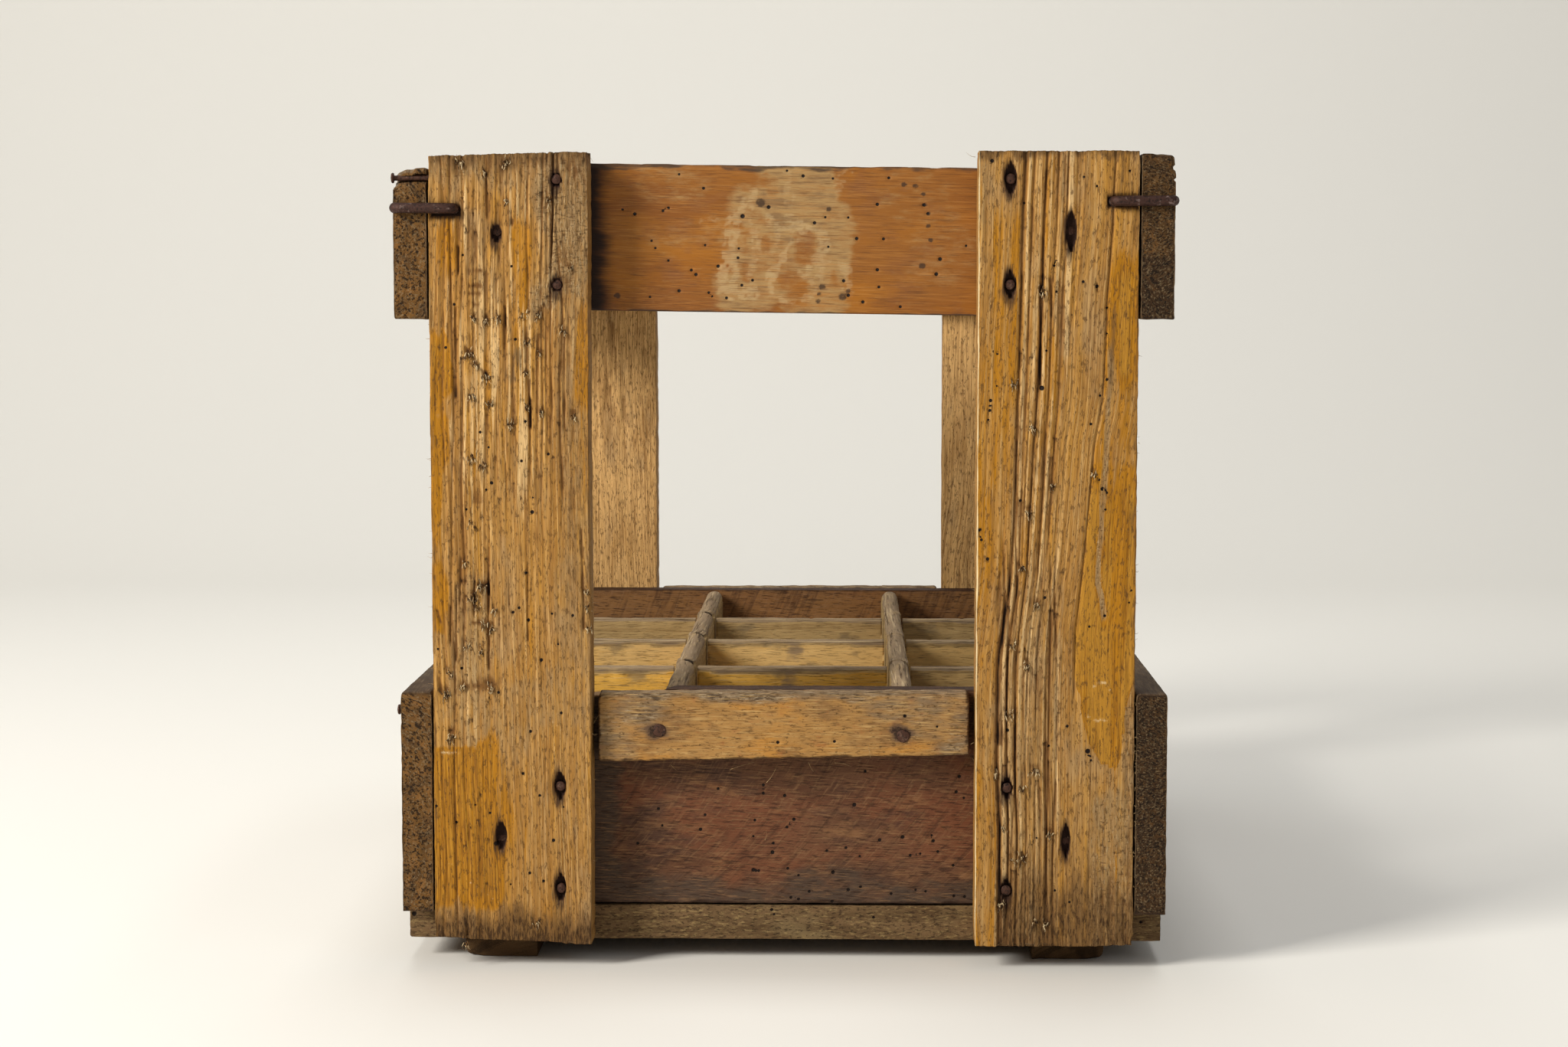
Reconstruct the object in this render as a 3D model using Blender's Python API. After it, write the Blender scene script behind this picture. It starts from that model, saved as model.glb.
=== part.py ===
"""Old nailed bottle crate: twelve cells, corner posts, open ends and wire-tied upper corners.

Metres, +Z up. The crate stands on its two runners at z = 0. Its middle is at x = 0 and y = 0, its
length runs along Y, and its front end faces -Y. Left and right are as seen from the front.
"""

import math

import bmesh
import bpy
from mathutils import Vector

# Fits
FIT = 0.0003
LAP_CLEARANCE = 0.0007
OVERRUN = 0.010
MERGE_DISTANCE = 0.000003

# The crate as a whole
CRATE_LENGTH = 0.440
INNER_WIDTH = 0.2954

# Runners, the two skids that the crate stands on
RUNNER_WIDTH = 0.031
RUNNER_THICKNESS = 0.008
RUNNER_INSET = 0.024
RUNNER_SETBACK = 0.0017
RUNNER_CORNER_WIDTH = 0.006
RUNNER_CORNER_RISE = 0.0022

# Bottom slats, laid across the runners
SLAT_COUNT = 5
SLAT_GAP = 0.01585
SLAT_THICKNESS = 0.0152

# Side boards and end boards, the low walls round the cells
SIDE_BOARD_HEIGHT = 0.0938
SIDE_BOARD_THICKNESS = 0.0133
SIDE_BOARD_CORNER = 0.0018
END_BOARD_HEIGHT = 0.0929
END_BOARD_THICKNESS = 0.012
END_CHIP_LENGTH = 0.028
END_CHIP_DEPTH = 0.0028
END_CHIP_SLOPE = 0.004

# Dividers
LONG_DIVIDER_THICKNESS = 0.0095
LONG_DIVIDER_HEIGHT = 0.0926
LONG_DIVIDER_PLACE_SHARES = (0.3392, 0.6716)
CROSS_DIVIDER_THICKNESS = 0.008
CROSS_DIVIDER_HEIGHT = 0.0888
CROSS_DIVIDER_CORNER = 0.0022
CROSS_DIVIDER_PLACE_SHARES = (0.24, 0.50, 0.735)
LAP_HEIGHT_SHARE = 0.5

# Corner posts
POST_WIDTH = 0.0670
POST_THICKNESS = 0.018
POST_HEIGHT = 0.3342
POST_FOOT_LIFT = 0.001
LEFT_POST_TOP_SLANT = 0.0018
LEFT_POST_FOOT_WEAR = 0.0030
RIGHT_POST_FOOT_WEAR = 0.0006

# Top boards, one between each pair of posts
TOP_BOARD_HEIGHT = 0.0620
TOP_BOARD_THICKNESS = 0.012
TOP_BOARD_DROP = 0.0036
TOP_BOARD_TILT = 0.0040

# Grip battens, nailed on the end boards between the posts
BATTEN_END_GAP = 0.00205
BATTEN_HEIGHT = 0.0306
BATTEN_TAPER = 0.0034
BATTEN_THICKNESS = 0.0117
BATTEN_RISE = 0.0006

# Upper rails along the sides
RAIL_THICKNESS = 0.0142
RIGHT_RAIL_HEIGHT = 0.0684
RIGHT_RAIL_CORNER = 0.0028
RAIL_UNDERSIDE_DROP = 0.0701
LEFT_RAIL_HEIGHT = 0.0628
LEFT_RAIL_CORNER_WIDTH = 0.0095
LEFT_RAIL_CORNER_RISE = 0.0075

# Corner wires: thick wire staples that tie each upper rail to its post
WIRE_DIAMETER = 0.0047
WIRE_BEND_RADIUS = 0.0038
WIRE_FRONT_PROUD = 0.0021
WIRE_SIDE_SINK = 0.0007
WIRE_FRONT_REACH = 0.0255
WIRE_SIDE_REACH = 0.030
WIRE_POST_LEG = 0.0125
WIRE_RAIL_LEG = 0.0095
LEFT_WIRE_DROP = 0.0241
RIGHT_WIRE_DROP = 0.0213

# Nails
NAIL_SHANK_DIAMETER = 0.0024
NAIL_HEAD_DIAMETER = 0.0050
NAIL_HEAD_THICKNESS = 0.0013
NAIL_HEAD_DOME = 0.0003
NAIL_TIP_LENGTH = 0.003
POST_NAIL_LENGTH = 0.025
POST_NAIL_SINK = 0.0030
POST_NAIL_INNER_INSET = 0.0135
POST_NAIL_OUTER_INSET = 0.0385
TOP_NAIL_DROPS = (0.0120, 0.0335, 0.0555)
FOOT_NAIL_RISES = (0.0682, 0.0457, 0.0246)
GASH_WIDTH = 0.0060
GASH_HEIGHT = 0.0130
BATTEN_NAIL_HEAD_DIAMETER = 0.0064
BATTEN_NAIL_LENGTH = 0.021
BATTEN_NAIL_INSETS = (0.02595, 0.02785)
BATTEN_NAIL_DROPS = (0.0168, 0.0188)
SIDE_NAIL_LENGTH = 0.032
SIDE_NAIL_PROUD = 0.0010
SIDE_NAIL_DROP = 0.0088
SIDE_NAIL_SETBACK = 0.009
RAIL_NAIL_LENGTH = 0.029
RAIL_NAIL_DROP = 0.0115
RAIL_NAIL_SETBACK = 0.0032
RAIL_NAIL_SINK = 0.0006

# Worn edges and the number of flats on what is round
BOARD_WEAR = 0.0009
POST_WEAR = 0.0012
WEAR_STEPS = 2
ROUND_SIDES = 10
WIRE_SIDES = 10
CORNER_STEPS = 4
BEND_STEPS = 4
GASH_STEPS = 4

# Levels and faces that several pieces share
SLAT_TOP = RUNNER_THICKNESS + FIT + SLAT_THICKNESS
BOARD_FOOT = SLAT_TOP + FIT
POST_FOOT = RUNNER_THICKNESS + FIT + POST_FOOT_LIFT
POST_TOP = POST_FOOT + POST_HEIGHT
RAIL_UNDERSIDE = POST_TOP - RAIL_UNDERSIDE_DROP
END_FACE = CRATE_LENGTH / 2
END_BOARD_FACE = END_FACE - POST_THICKNESS - FIT
END_BOARD_BACK = END_BOARD_FACE - END_BOARD_THICKNESS
SLAT_WIDTH = (2 * END_BOARD_FACE + SLAT_GAP) / SLAT_COUNT - SLAT_GAP
TOP_BOARD_BACK = END_BOARD_FACE - TOP_BOARD_THICKNESS
SIDE_FACE = INNER_WIDTH / 2
BOARD_EDGE = SIDE_FACE - FIT
POST_INNER_EDGE = BOARD_EDGE - POST_WIDTH
RAIL_FACE = SIDE_FACE + RAIL_THICKNESS
LAP_LEVEL = BOARD_FOOT + CROSS_DIVIDER_HEIGHT * LAP_HEIGHT_SHARE

ENDS = {"front": -1, "back": 1}
SIDES = {"left": -1, "right": 1}


def clear_scene():
    for old in list(bpy.data.objects):
        bpy.data.objects.remove(old, do_unlink=True)


def linear(code):
    """A colour written as six hex digits of sRGB, in linear light."""
    channels = [int(code[i : i + 2], 16) / 255 for i in (0, 2, 4)]
    return [c / 12.92 if c <= 0.04045 else ((c + 0.055) / 1.055) ** 2.4 for c in channels]


def finish(name, code, roughness, metallic=0.0):
    material = bpy.data.materials.new(name)
    material.use_nodes = True
    shader = material.node_tree.nodes["Principled BSDF"]
    shader.inputs["Base Color"].default_value = (*linear(code), 1)
    shader.inputs["Roughness"].default_value = roughness
    shader.inputs["Metallic"].default_value = metallic
    return material


def wood_finishes():
    """One finish for each kind of board, from honey pine to the dark boards of the cells' walls."""
    return {
        "post": finish("honey_pine", "A87A3C", 0.75),
        "top": finish("reddish_board", "A0662E", 0.6),
        "end": finish("dark_red_board", "5E3A28", 0.7),
        "batten": finish("tan_batten", "A6804C", 0.75),
        "side": finish("grey_brown_board", "54432C", 0.85),
        "divider": finish("worn_tan_divider", "8E6C44", 0.8),
        "slat": finish("olive_brown_slat", "6B5434", 0.8),
    }


def iron_finish():
    return finish("rusty_iron", "3F2B28", 0.55, 0.7)


def link(name, mesh, material):
    """An object with this mesh, in the scene."""
    piece = bpy.data.objects.new(name, mesh)
    bpy.context.scene.collection.objects.link(piece)
    if material and not mesh.materials:
        mesh.materials.append(material)
    return piece


def mesh_from(name, shape):
    bmesh.ops.recalc_face_normals(shape, faces=shape.faces)
    mesh = bpy.data.meshes.new(name)
    shape.to_mesh(mesh)
    shape.free()
    return mesh


def prism_into(shape, outline, along, start, end):
    """Adds an outline of (u, z) points, drawn out from start to end along X or Y, to shape."""
    if along == "X":
        points = [Vector((start, u, z)) for u, z in outline]
        travel = Vector((end - start, 0, 0))
    else:
        points = [Vector((u, start, z)) for u, z in outline]
        travel = Vector((0, end - start, 0))
    cap = shape.faces.new([shape.verts.new(point) for point in points])
    drawn = bmesh.ops.extrude_face_region(shape, geom=[cap])
    moved = [item for item in drawn["geom"] if isinstance(item, bmesh.types.BMVert)]
    bmesh.ops.translate(shape, verts=moved, vec=travel)


def prism_mesh(name, outline, along, start, end):
    shape = bmesh.new()
    prism_into(shape, outline, along, start, end)
    return mesh_from(name, shape)


def rectangle(low_u, low_z, high_u, high_z):
    return [(low_u, low_z), (high_u, low_z), (high_u, high_z), (low_u, high_z)]


def quarter(centre_u, centre_z, width, rise, first, steps=CORNER_STEPS):
    """Points of a quarter ellipse, turning a quarter turn from the angle first."""
    angles = [first + math.pi / 2 * step / steps for step in range(steps + 1)]
    return [(centre_u + width * math.cos(a), centre_z + rise * math.sin(a)) for a in angles]


def wear_edges(piece, width):
    """Rounds the sawn edges, which decades of handling have worn."""
    bevel = piece.modifiers.new("worn_edges", "BEVEL")
    bevel.width = width
    bevel.segments = WEAR_STEPS
    bevel.limit_method = "ANGLE"
    bevel.angle_limit = math.radians(50)


def plank(name, outline, along, start, end, material, wear=BOARD_WEAR):
    """A board: its outline drawn out along X or Y, with worn edges."""
    piece = link(name, prism_mesh(name, outline, along, start, end), material)
    wear_edges(piece, wear)
    return piece


def helper(name, mesh):
    """A cutter, which is left out of the crate itself."""
    cutter = link(name, mesh, None)
    cutter.hide_render = True
    cutter.display_type = "WIRE"
    return cutter


def cut(piece, cutter):
    difference = piece.modifiers.new("cut_" + cutter.name, "BOOLEAN")
    difference.operation = "DIFFERENCE"
    difference.solver = "EXACT"
    difference.object = cutter


def end_span(end, outer, inner):
    """The low and high y of what lies between two distances from the middle at this end."""
    return sorted((ENDS[end] * outer, ENDS[end] * inner))


def runner(side, material):
    """A skid under the slats, with its outer bottom corner rubbed round."""
    sign = SIDES[side]
    outer = sign * (SIDE_FACE + SIDE_BOARD_THICKNESS - RUNNER_INSET)
    inner = outer - sign * RUNNER_WIDTH
    width = sign * RUNNER_CORNER_WIDTH
    rise = RUNNER_CORNER_RISE
    bend = quarter(outer - width, rise, width, rise, -math.pi / 2)
    outline = [(inner, 0)] + bend + [(outer, RUNNER_THICKNESS), (inner, RUNNER_THICKNESS)]
    reach = END_BOARD_FACE - RUNNER_SETBACK
    plank(f"{side}_runner", outline, "Y", -reach, reach, material)


def bottom_slats(material):
    """The slatted floor: the outer slats end flush with the end boards, the rest are spread evenly."""
    reach = SIDE_FACE + SIDE_BOARD_THICKNESS
    for number in range(SLAT_COUNT):
        low = -END_BOARD_FACE + number * (SLAT_WIDTH + SLAT_GAP)
        outline = rectangle(low, RUNNER_THICKNESS + FIT, low + SLAT_WIDTH, SLAT_TOP)
        plank(f"bottom_slat_{number + 1}", outline, "X", -reach, reach, material)


def side_board(side, material):
    """The low side wall, which covers the ends of the end boards and the edges of the posts."""
    sign = SIDES[side]
    inner = sign * SIDE_FACE
    outer = sign * (SIDE_FACE + SIDE_BOARD_THICKNESS)
    top = BOARD_FOOT + SIDE_BOARD_HEIGHT
    width = sign * SIDE_BOARD_CORNER
    corner = quarter(outer - width, top - SIDE_BOARD_CORNER, width, SIDE_BOARD_CORNER, 0)
    outline = [(inner, BOARD_FOOT), (outer, BOARD_FOOT)] + corner + [(inner, top)]
    return plank(f"{side}_side_board", outline, "Y", -END_FACE, END_FACE, material)


def end_board(end, material):
    """The low end wall, behind the posts. The front one has lost a splinter from its top edge."""
    top = BOARD_FOOT + END_BOARD_HEIGHT
    outline = rectangle(-BOARD_EDGE, BOARD_FOOT, BOARD_EDGE, top)
    if end == "front":
        chip_end = -POST_INNER_EDGE + END_CHIP_LENGTH
        chip_floor = top - END_CHIP_DEPTH
        rim = [(chip_end + END_CHIP_SLOPE, top), (chip_end, chip_floor), (-BOARD_EDGE, chip_floor)]
        outline = outline[:3] + rim
    low, high = end_span(end, END_BOARD_FACE, END_BOARD_BACK)
    return plank(f"{end}_end_board", outline, "Y", low, high, material)


def top_board(end, material):
    """The board between the posts' heads. Its right end sits a little lower than its left."""
    top = POST_TOP - TOP_BOARD_DROP
    foot = top - TOP_BOARD_HEIGHT
    outline = [
        (-BOARD_EDGE, foot),
        (BOARD_EDGE, foot - TOP_BOARD_TILT),
        (BOARD_EDGE, top - TOP_BOARD_TILT),
        (-BOARD_EDGE, top),
    ]
    low, high = end_span(end, END_BOARD_FACE, TOP_BOARD_BACK)
    return plank(f"{end}_top_board", outline, "Y", low, high, material)


def grip_batten(end, material):
    """The batten between the posts that thickens the end board's rim for the hands."""
    top = BOARD_FOOT + END_BOARD_HEIGHT + BATTEN_RISE
    half = POST_INNER_EDGE - BATTEN_END_GAP
    foot = top - BATTEN_HEIGHT
    outline = [(-half, foot), (half, foot + BATTEN_TAPER), (half, top), (-half, top)]
    low, high = end_span(end, END_BOARD_FACE + FIT + BATTEN_THICKNESS, END_BOARD_FACE + FIT)
    return plank(f"{end}_grip_batten", outline, "Y", low, high, material)


def corner_post(end, side, material):
    """A flat post at a corner. The left ones are sawn aslant on top and worn at the foot."""
    sign = SIDES[side]
    outer = sign * BOARD_EDGE
    inner = sign * POST_INNER_EDGE
    slant = LEFT_POST_TOP_SLANT if side == "left" else 0
    wear = LEFT_POST_FOOT_WEAR if side == "left" else RIGHT_POST_FOOT_WEAR
    outer_edge = [(outer, POST_FOOT + wear), (outer, POST_TOP - slant)]
    outline = [(inner, POST_FOOT)] + outer_edge + [(inner, POST_TOP)]
    low, high = end_span(end, END_FACE, END_FACE - POST_THICKNESS)
    return plank(f"{end}_{side}_post", outline, "Y", low, high, material, POST_WEAR)


def upper_rail(side, material):
    """The rail outside the posts' heads. The left one is lower, with its outer corner worn away."""
    sign = SIDES[side]
    height = LEFT_RAIL_HEIGHT if side == "left" else RIGHT_RAIL_HEIGHT
    width = LEFT_RAIL_CORNER_WIDTH if side == "left" else RIGHT_RAIL_CORNER
    rise = LEFT_RAIL_CORNER_RISE if side == "left" else RIGHT_RAIL_CORNER
    inner = sign * SIDE_FACE
    outer = sign * RAIL_FACE
    top = RAIL_UNDERSIDE + height
    corner = quarter(outer - sign * width, top - rise, sign * width, rise, 0)
    outline = [(inner, RAIL_UNDERSIDE), (outer, RAIL_UNDERSIDE)] + corner + [(inner, top)]
    return plank(f"{side}_upper_rail", outline, "Y", -END_FACE, END_FACE, material)


def cross_divider_places():
    """The y of the middle of each cross divider, from front to back."""
    return [END_BOARD_BACK * (2 * share - 1) for share in CROSS_DIVIDER_PLACE_SHARES]


def long_divider_places():
    """The x of the middle of the left and of the right long divider."""
    return {side: INNER_WIDTH * (share - 0.5) for side, share in zip(SIDES, LONG_DIVIDER_PLACE_SHARES)}


def long_divider(side, material):
    """A divider along the crate: its top is worn half round, and it is slotted from below."""
    middle = long_divider_places()[side]
    half = LONG_DIVIDER_THICKNESS / 2
    shoulder = BOARD_FOOT + LONG_DIVIDER_HEIGHT - half
    crown = quarter(middle, shoulder, half, half, 0)
    crown += quarter(middle, shoulder, half, half, math.pi / 2)[1:]
    outline = [(middle - half, BOARD_FOOT), (middle + half, BOARD_FOOT)] + crown
    reach = END_BOARD_BACK - FIT
    piece = plank(f"{side}_long_divider", outline, "Y", -reach, reach, material)
    slots = bmesh.new()
    slot_half = CROSS_DIVIDER_THICKNESS / 2 + LAP_CLEARANCE
    slot_foot = BOARD_FOOT - OVERRUN
    for place in cross_divider_places():
        slot = rectangle(place - slot_half, slot_foot, place + slot_half, LAP_LEVEL + FIT / 2)
        prism_into(slots, slot, "X", middle - half - OVERRUN, middle + half + OVERRUN)
    cut(piece, helper(f"{side}_divider_slots", mesh_from(f"{side}_divider_slots", slots)))


def cross_dividers(material):
    """Three dividers across the crate, slotted from above, so that the long ones pass over them."""
    slots = bmesh.new()
    slot_half = LONG_DIVIDER_THICKNESS / 2 + LAP_CLEARANCE
    top = BOARD_FOOT + CROSS_DIVIDER_HEIGHT
    for middle in long_divider_places().values():
        slot = rectangle(middle - slot_half, LAP_LEVEL - FIT / 2, middle + slot_half, top + OVERRUN)
        prism_into(slots, slot, "Y", -END_FACE, END_FACE)
    cutter = helper("cross_divider_slots", mesh_from("cross_divider_slots", slots))
    half = CROSS_DIVIDER_THICKNESS / 2
    corner = CROSS_DIVIDER_CORNER
    reach = SIDE_FACE - FIT
    for name, place in zip(("front", "middle", "back"), cross_divider_places()):
        near = quarter(place - half + corner, top - corner, corner, corner, math.pi / 2)
        far = quarter(place + half - corner, top - corner, corner, corner, 0)
        outline = [(place - half, BOARD_FOOT), (place + half, BOARD_FOOT)] + far + near
        piece = plank(f"{name}_cross_divider", outline, "X", -reach, reach, material)
        cut(piece, cutter)


def rounded_path(corners, radius):
    """A path through the corners, with each inner corner turned on an arc of this radius."""
    path = [corners[0]]
    for before, corner, after in zip(corners, corners[1:], corners[2:]):
        back = (before - corner).normalized()
        on = (after - corner).normalized()
        half_angle = back.angle(on) / 2
        centre = corner + (back + on).normalized() * radius / math.sin(half_angle)
        start = corner + back * radius / math.tan(half_angle) - centre
        end = corner + on * radius / math.tan(half_angle) - centre
        for step in range(BEND_STEPS + 1):
            path.append(centre + start.slerp(end, step / BEND_STEPS).normalized() * radius)
    return path + [corners[-1]]


def tube_into(shape, path, radius):
    """Adds a closed round tube along a level path to shape, as rings joined by quads."""
    rings = []
    for number, point in enumerate(path):
        before = path[max(number - 1, 0)]
        after = path[min(number + 1, len(path) - 1)]
        level = (after - before).normalized().cross(Vector((0, 0, 1)))
        ring = []
        for step in range(WIRE_SIDES):
            angle = math.tau * (step + 0.5) / WIRE_SIDES
            offset = level * math.cos(angle) + Vector((0, 0, math.sin(angle)))
            ring.append(shape.verts.new(point + offset * radius))
        rings.append(ring)
    for ring, following in zip(rings, rings[1:]):
        for step in range(WIRE_SIDES):
            nxt = (step + 1) % WIRE_SIDES
            shape.faces.new((ring[step], ring[nxt], following[nxt], following[step]))
    shape.faces.new(rings[0])
    shape.faces.new(rings[-1])


def wire_path(end, side, leg_overrun=0):
    """The wire's middle line: out of the post, across the corner and into the rail's outer face."""
    drop = LEFT_WIRE_DROP if side == "left" else RIGHT_WIRE_DROP
    level = POST_TOP - drop
    x, y = SIDES[side], ENDS[end]
    post_leg_x = RAIL_FACE - WIRE_FRONT_REACH
    rail_leg_y = END_FACE - WIRE_SIDE_REACH
    run_x = RAIL_FACE - WIRE_SIDE_SINK
    run_y = END_FACE + WIRE_FRONT_PROUD
    post_tip = END_FACE - WIRE_POST_LEG - leg_overrun
    rail_tip = RAIL_FACE - WIRE_RAIL_LEG - leg_overrun
    post_leg = [(post_leg_x, post_tip), (post_leg_x, run_y)]
    rail_leg = [(run_x, rail_leg_y), (rail_tip, rail_leg_y)]
    corners = post_leg + [(run_x, run_y)] + rail_leg
    return rounded_path([Vector((x * u, y * v, level)) for u, v in corners], WIRE_BEND_RADIUS)


def smooth_round(mesh):
    mesh.shade_smooth()
    mesh.set_sharp_from_angle(angle=math.radians(40))


def corner_wires(posts, rails, material):
    """Four bent wires, hammered half into the wood, and the beds that they have pressed."""
    beds = bmesh.new()
    for end in ENDS:
        for side in SIDES:
            name = f"{end}_{side}_corner_wire"
            wire = bmesh.new()
            tube_into(wire, wire_path(end, side), WIRE_DIAMETER / 2)
            mesh = mesh_from(name, wire)
            smooth_round(mesh)
            link(name, mesh, material)
            tube_into(beds, wire_path(end, side, FIT), WIRE_DIAMETER / 2 + FIT)
    cutter = helper("wire_beds", mesh_from("wire_beds", beds))
    for piece in posts + rails:
        cut(piece, cutter)


def turned_mesh(name, profile):
    """A profile of (radius, y) points turned round the Y axis."""
    shape = bmesh.new()
    verts = [shape.verts.new((radius, y, 0)) for radius, y in profile]
    edges = [shape.edges.new(pair) for pair in zip(verts, verts[1:])]
    bmesh.ops.spin(
        shape,
        geom=verts + edges,
        axis=(0, 1, 0),
        cent=(0, 0, 0),
        angle=math.tau,
        steps=ROUND_SIDES,
    )
    bmesh.ops.remove_doubles(shape, verts=shape.verts, dist=MERGE_DISTANCE)
    return mesh_from(name, shape)


def nail_mesh(name, head_diameter, length):
    """A cut-headed wire nail along +Y, with the underside of its head at the origin."""
    head = head_diameter / 2
    shank = NAIL_SHANK_DIAMETER / 2
    rim_share, crown_share = 0.55, 0.7
    profile = [
        (0, length),
        (shank, length - NAIL_TIP_LENGTH),
        (shank, 0),
        (head, 0),
        (head, -NAIL_HEAD_THICKNESS * rim_share),
        (head * crown_share, -NAIL_HEAD_THICKNESS),
        (0, -NAIL_HEAD_THICKNESS - NAIL_HEAD_DOME),
    ]
    mesh = turned_mesh(name, profile)
    smooth_round(mesh)
    return mesh


def hole_radius(radius):
    """The corner radius of a hole of flats that clears a round shank of this radius by the fit."""
    return (radius + FIT) / math.cos(math.pi / ROUND_SIDES)


def circle(centre_u, centre_z, radius):
    angles = [math.tau * step / ROUND_SIDES for step in range(ROUND_SIDES)]
    return [(centre_u + radius * math.cos(a), centre_z + radius * math.sin(a)) for a in angles]


def gash_outline(centre_x, centre_z):
    """The lens-shaped tear round a sunk nail: two arcs that meet above and below it."""
    half_width = GASH_WIDTH / 2
    half_height = GASH_HEIGHT / 2
    radius = (half_height**2 + half_width**2) / (2 * half_width)
    spread = math.asin(half_height / radius)
    points = []
    for sign in (1, -1):
        for step in range(GASH_STEPS):
            angle = spread * (2 * step / GASH_STEPS - 1)
            across = radius * math.cos(angle) - radius + half_width
            points.append((centre_x + sign * across, centre_z + sign * radius * math.sin(angle)))
    return points


def post_nail_places(side):
    """Names and (x, z) places of the six nails that hold one post to its two boards."""
    inner = SIDES[side] * (POST_INNER_EDGE + POST_NAIL_INNER_INSET)
    outer = SIDES[side] * (POST_INNER_EDGE + POST_NAIL_OUTER_INSET)
    columns = (inner, outer, inner)
    places = {}
    for number, (column, drop) in enumerate(zip(columns, TOP_NAIL_DROPS)):
        places[f"{side}_top_nail_{number + 1}"] = (column, POST_TOP - drop)
    for number, (column, rise) in enumerate(zip(columns, FOOT_NAIL_RISES)):
        places[f"{side}_foot_nail_{number + 1}"] = (column, POST_FOOT + rise)
    return places


def batten_nail_places():
    top = BOARD_FOOT + END_BOARD_HEIGHT + BATTEN_RISE
    half = POST_INNER_EDGE - BATTEN_END_GAP
    named = zip(SIDES, BATTEN_NAIL_INSETS, BATTEN_NAIL_DROPS)
    return {
        f"batten_{side}_nail": (SIDES[side] * (half - inset), top - drop)
        for side, inset, drop in named
    }


def nail_end(end, posts, boards, batten, post_nail, batten_nail, material):
    """Nails one end together, each nail in its own hole, the post nails sunk in torn gashes."""
    holes = bmesh.new()
    gashes = bmesh.new()
    pockets = bmesh.new()
    shank = hole_radius(NAIL_SHANK_DIAMETER / 2)
    turn = 0 if end == "front" else math.pi
    post_seat = END_FACE - POST_NAIL_SINK
    batten_face = END_BOARD_FACE + FIT + BATTEN_THICKNESS
    batten_seat = batten_face - NAIL_HEAD_THICKNESS

    def drive(name, mesh, x, z, seat, length):
        nail = link(f"{end}_{name}", mesh, material)
        nail.location = (x, ENDS[end] * (seat + FIT), z)
        nail.rotation_euler = (0, 0, turn)
        low, high = end_span(end, seat + OVERRUN, seat - length - FIT)
        prism_into(holes, circle(x, z, shank), "Y", low, high)

    for side in SIDES:
        for name, (x, z) in post_nail_places(side).items():
            drive(name, post_nail, x, z, post_seat, POST_NAIL_LENGTH)
            low, high = end_span(end, END_FACE + OVERRUN, post_seat)
            prism_into(gashes, gash_outline(x, z), "Y", low, high)
    for name, (x, z) in batten_nail_places().items():
        drive(name, batten_nail, x, z, batten_seat, BATTEN_NAIL_LENGTH)
        low, high = end_span(end, batten_face + OVERRUN, batten_seat)
        prism_into(pockets, circle(x, z, hole_radius(BATTEN_NAIL_HEAD_DIAMETER / 2)), "Y", low, high)

    hole_cutter = helper(f"{end}_nail_holes", mesh_from(f"{end}_nail_holes", holes))
    gash_cutter = helper(f"{end}_nail_gashes", mesh_from(f"{end}_nail_gashes", gashes))
    pocket_cutter = helper(f"{end}_nail_pockets", mesh_from(f"{end}_nail_pockets", pockets))
    for piece in posts:
        cut(piece, gash_cutter)
    cut(batten, pocket_cutter)
    for piece in posts + boards + [batten]:
        cut(piece, hole_cutter)


def side_nail(board, post, material):
    """The nail in the left side board that has worked its way out and stands proud."""
    face = SIDE_FACE + SIDE_BOARD_THICKNESS
    y = -END_FACE + SIDE_NAIL_SETBACK
    z = BOARD_FOOT + SIDE_BOARD_HEIGHT - SIDE_NAIL_DROP
    mesh = nail_mesh("side_nail", NAIL_HEAD_DIAMETER, SIDE_NAIL_LENGTH)
    nail = link("left_side_nail", mesh, material)
    nail.location = (-face - SIDE_NAIL_PROUD, y, z)
    nail.rotation_euler = (0, 0, -math.pi / 2)
    tip = -face - SIDE_NAIL_PROUD + SIDE_NAIL_LENGTH + FIT
    outline = circle(y, z, hole_radius(NAIL_SHANK_DIAMETER / 2))
    cutter = helper("side_nail_hole", prism_mesh("side_nail_hole", outline, "X", -face - OVERRUN, tip))
    cut(board, cutter)
    cut(post, cutter)


def rail_nail(rail, post, material):
    """The nail through the left rail's front end, bared where the rail has split along it."""
    y = -END_FACE + RAIL_NAIL_SETBACK
    z = POST_TOP - RAIL_NAIL_DROP
    mesh = nail_mesh("rail_nail", NAIL_HEAD_DIAMETER, RAIL_NAIL_LENGTH)
    nail = link("left_rail_nail", mesh, material)
    head = -RAIL_FACE + RAIL_NAIL_SINK
    nail.location = (head, y, z)
    nail.rotation_euler = (0, 0, -math.pi / 2)
    radius = hole_radius(NAIL_SHANK_DIAMETER / 2)
    tip = head + RAIL_NAIL_LENGTH + FIT
    split = rectangle(-END_FACE - OVERRUN, z - radius, y, z + radius)
    shapes = {
        "rail_nail_hole": (circle(y, z, radius), tip),
        "rail_nail_split": (split, -SIDE_FACE + OVERRUN),
        "rail_nail_seat": (circle(y, z, hole_radius(NAIL_HEAD_DIAMETER / 2)), head + FIT),
    }
    for name, (outline, inner_end) in shapes.items():
        cutter = helper(name, prism_mesh(name, outline, "X", head - OVERRUN, inner_end))
        cut(rail, cutter)
        if name == "rail_nail_hole":
            cut(post, cutter)


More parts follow.
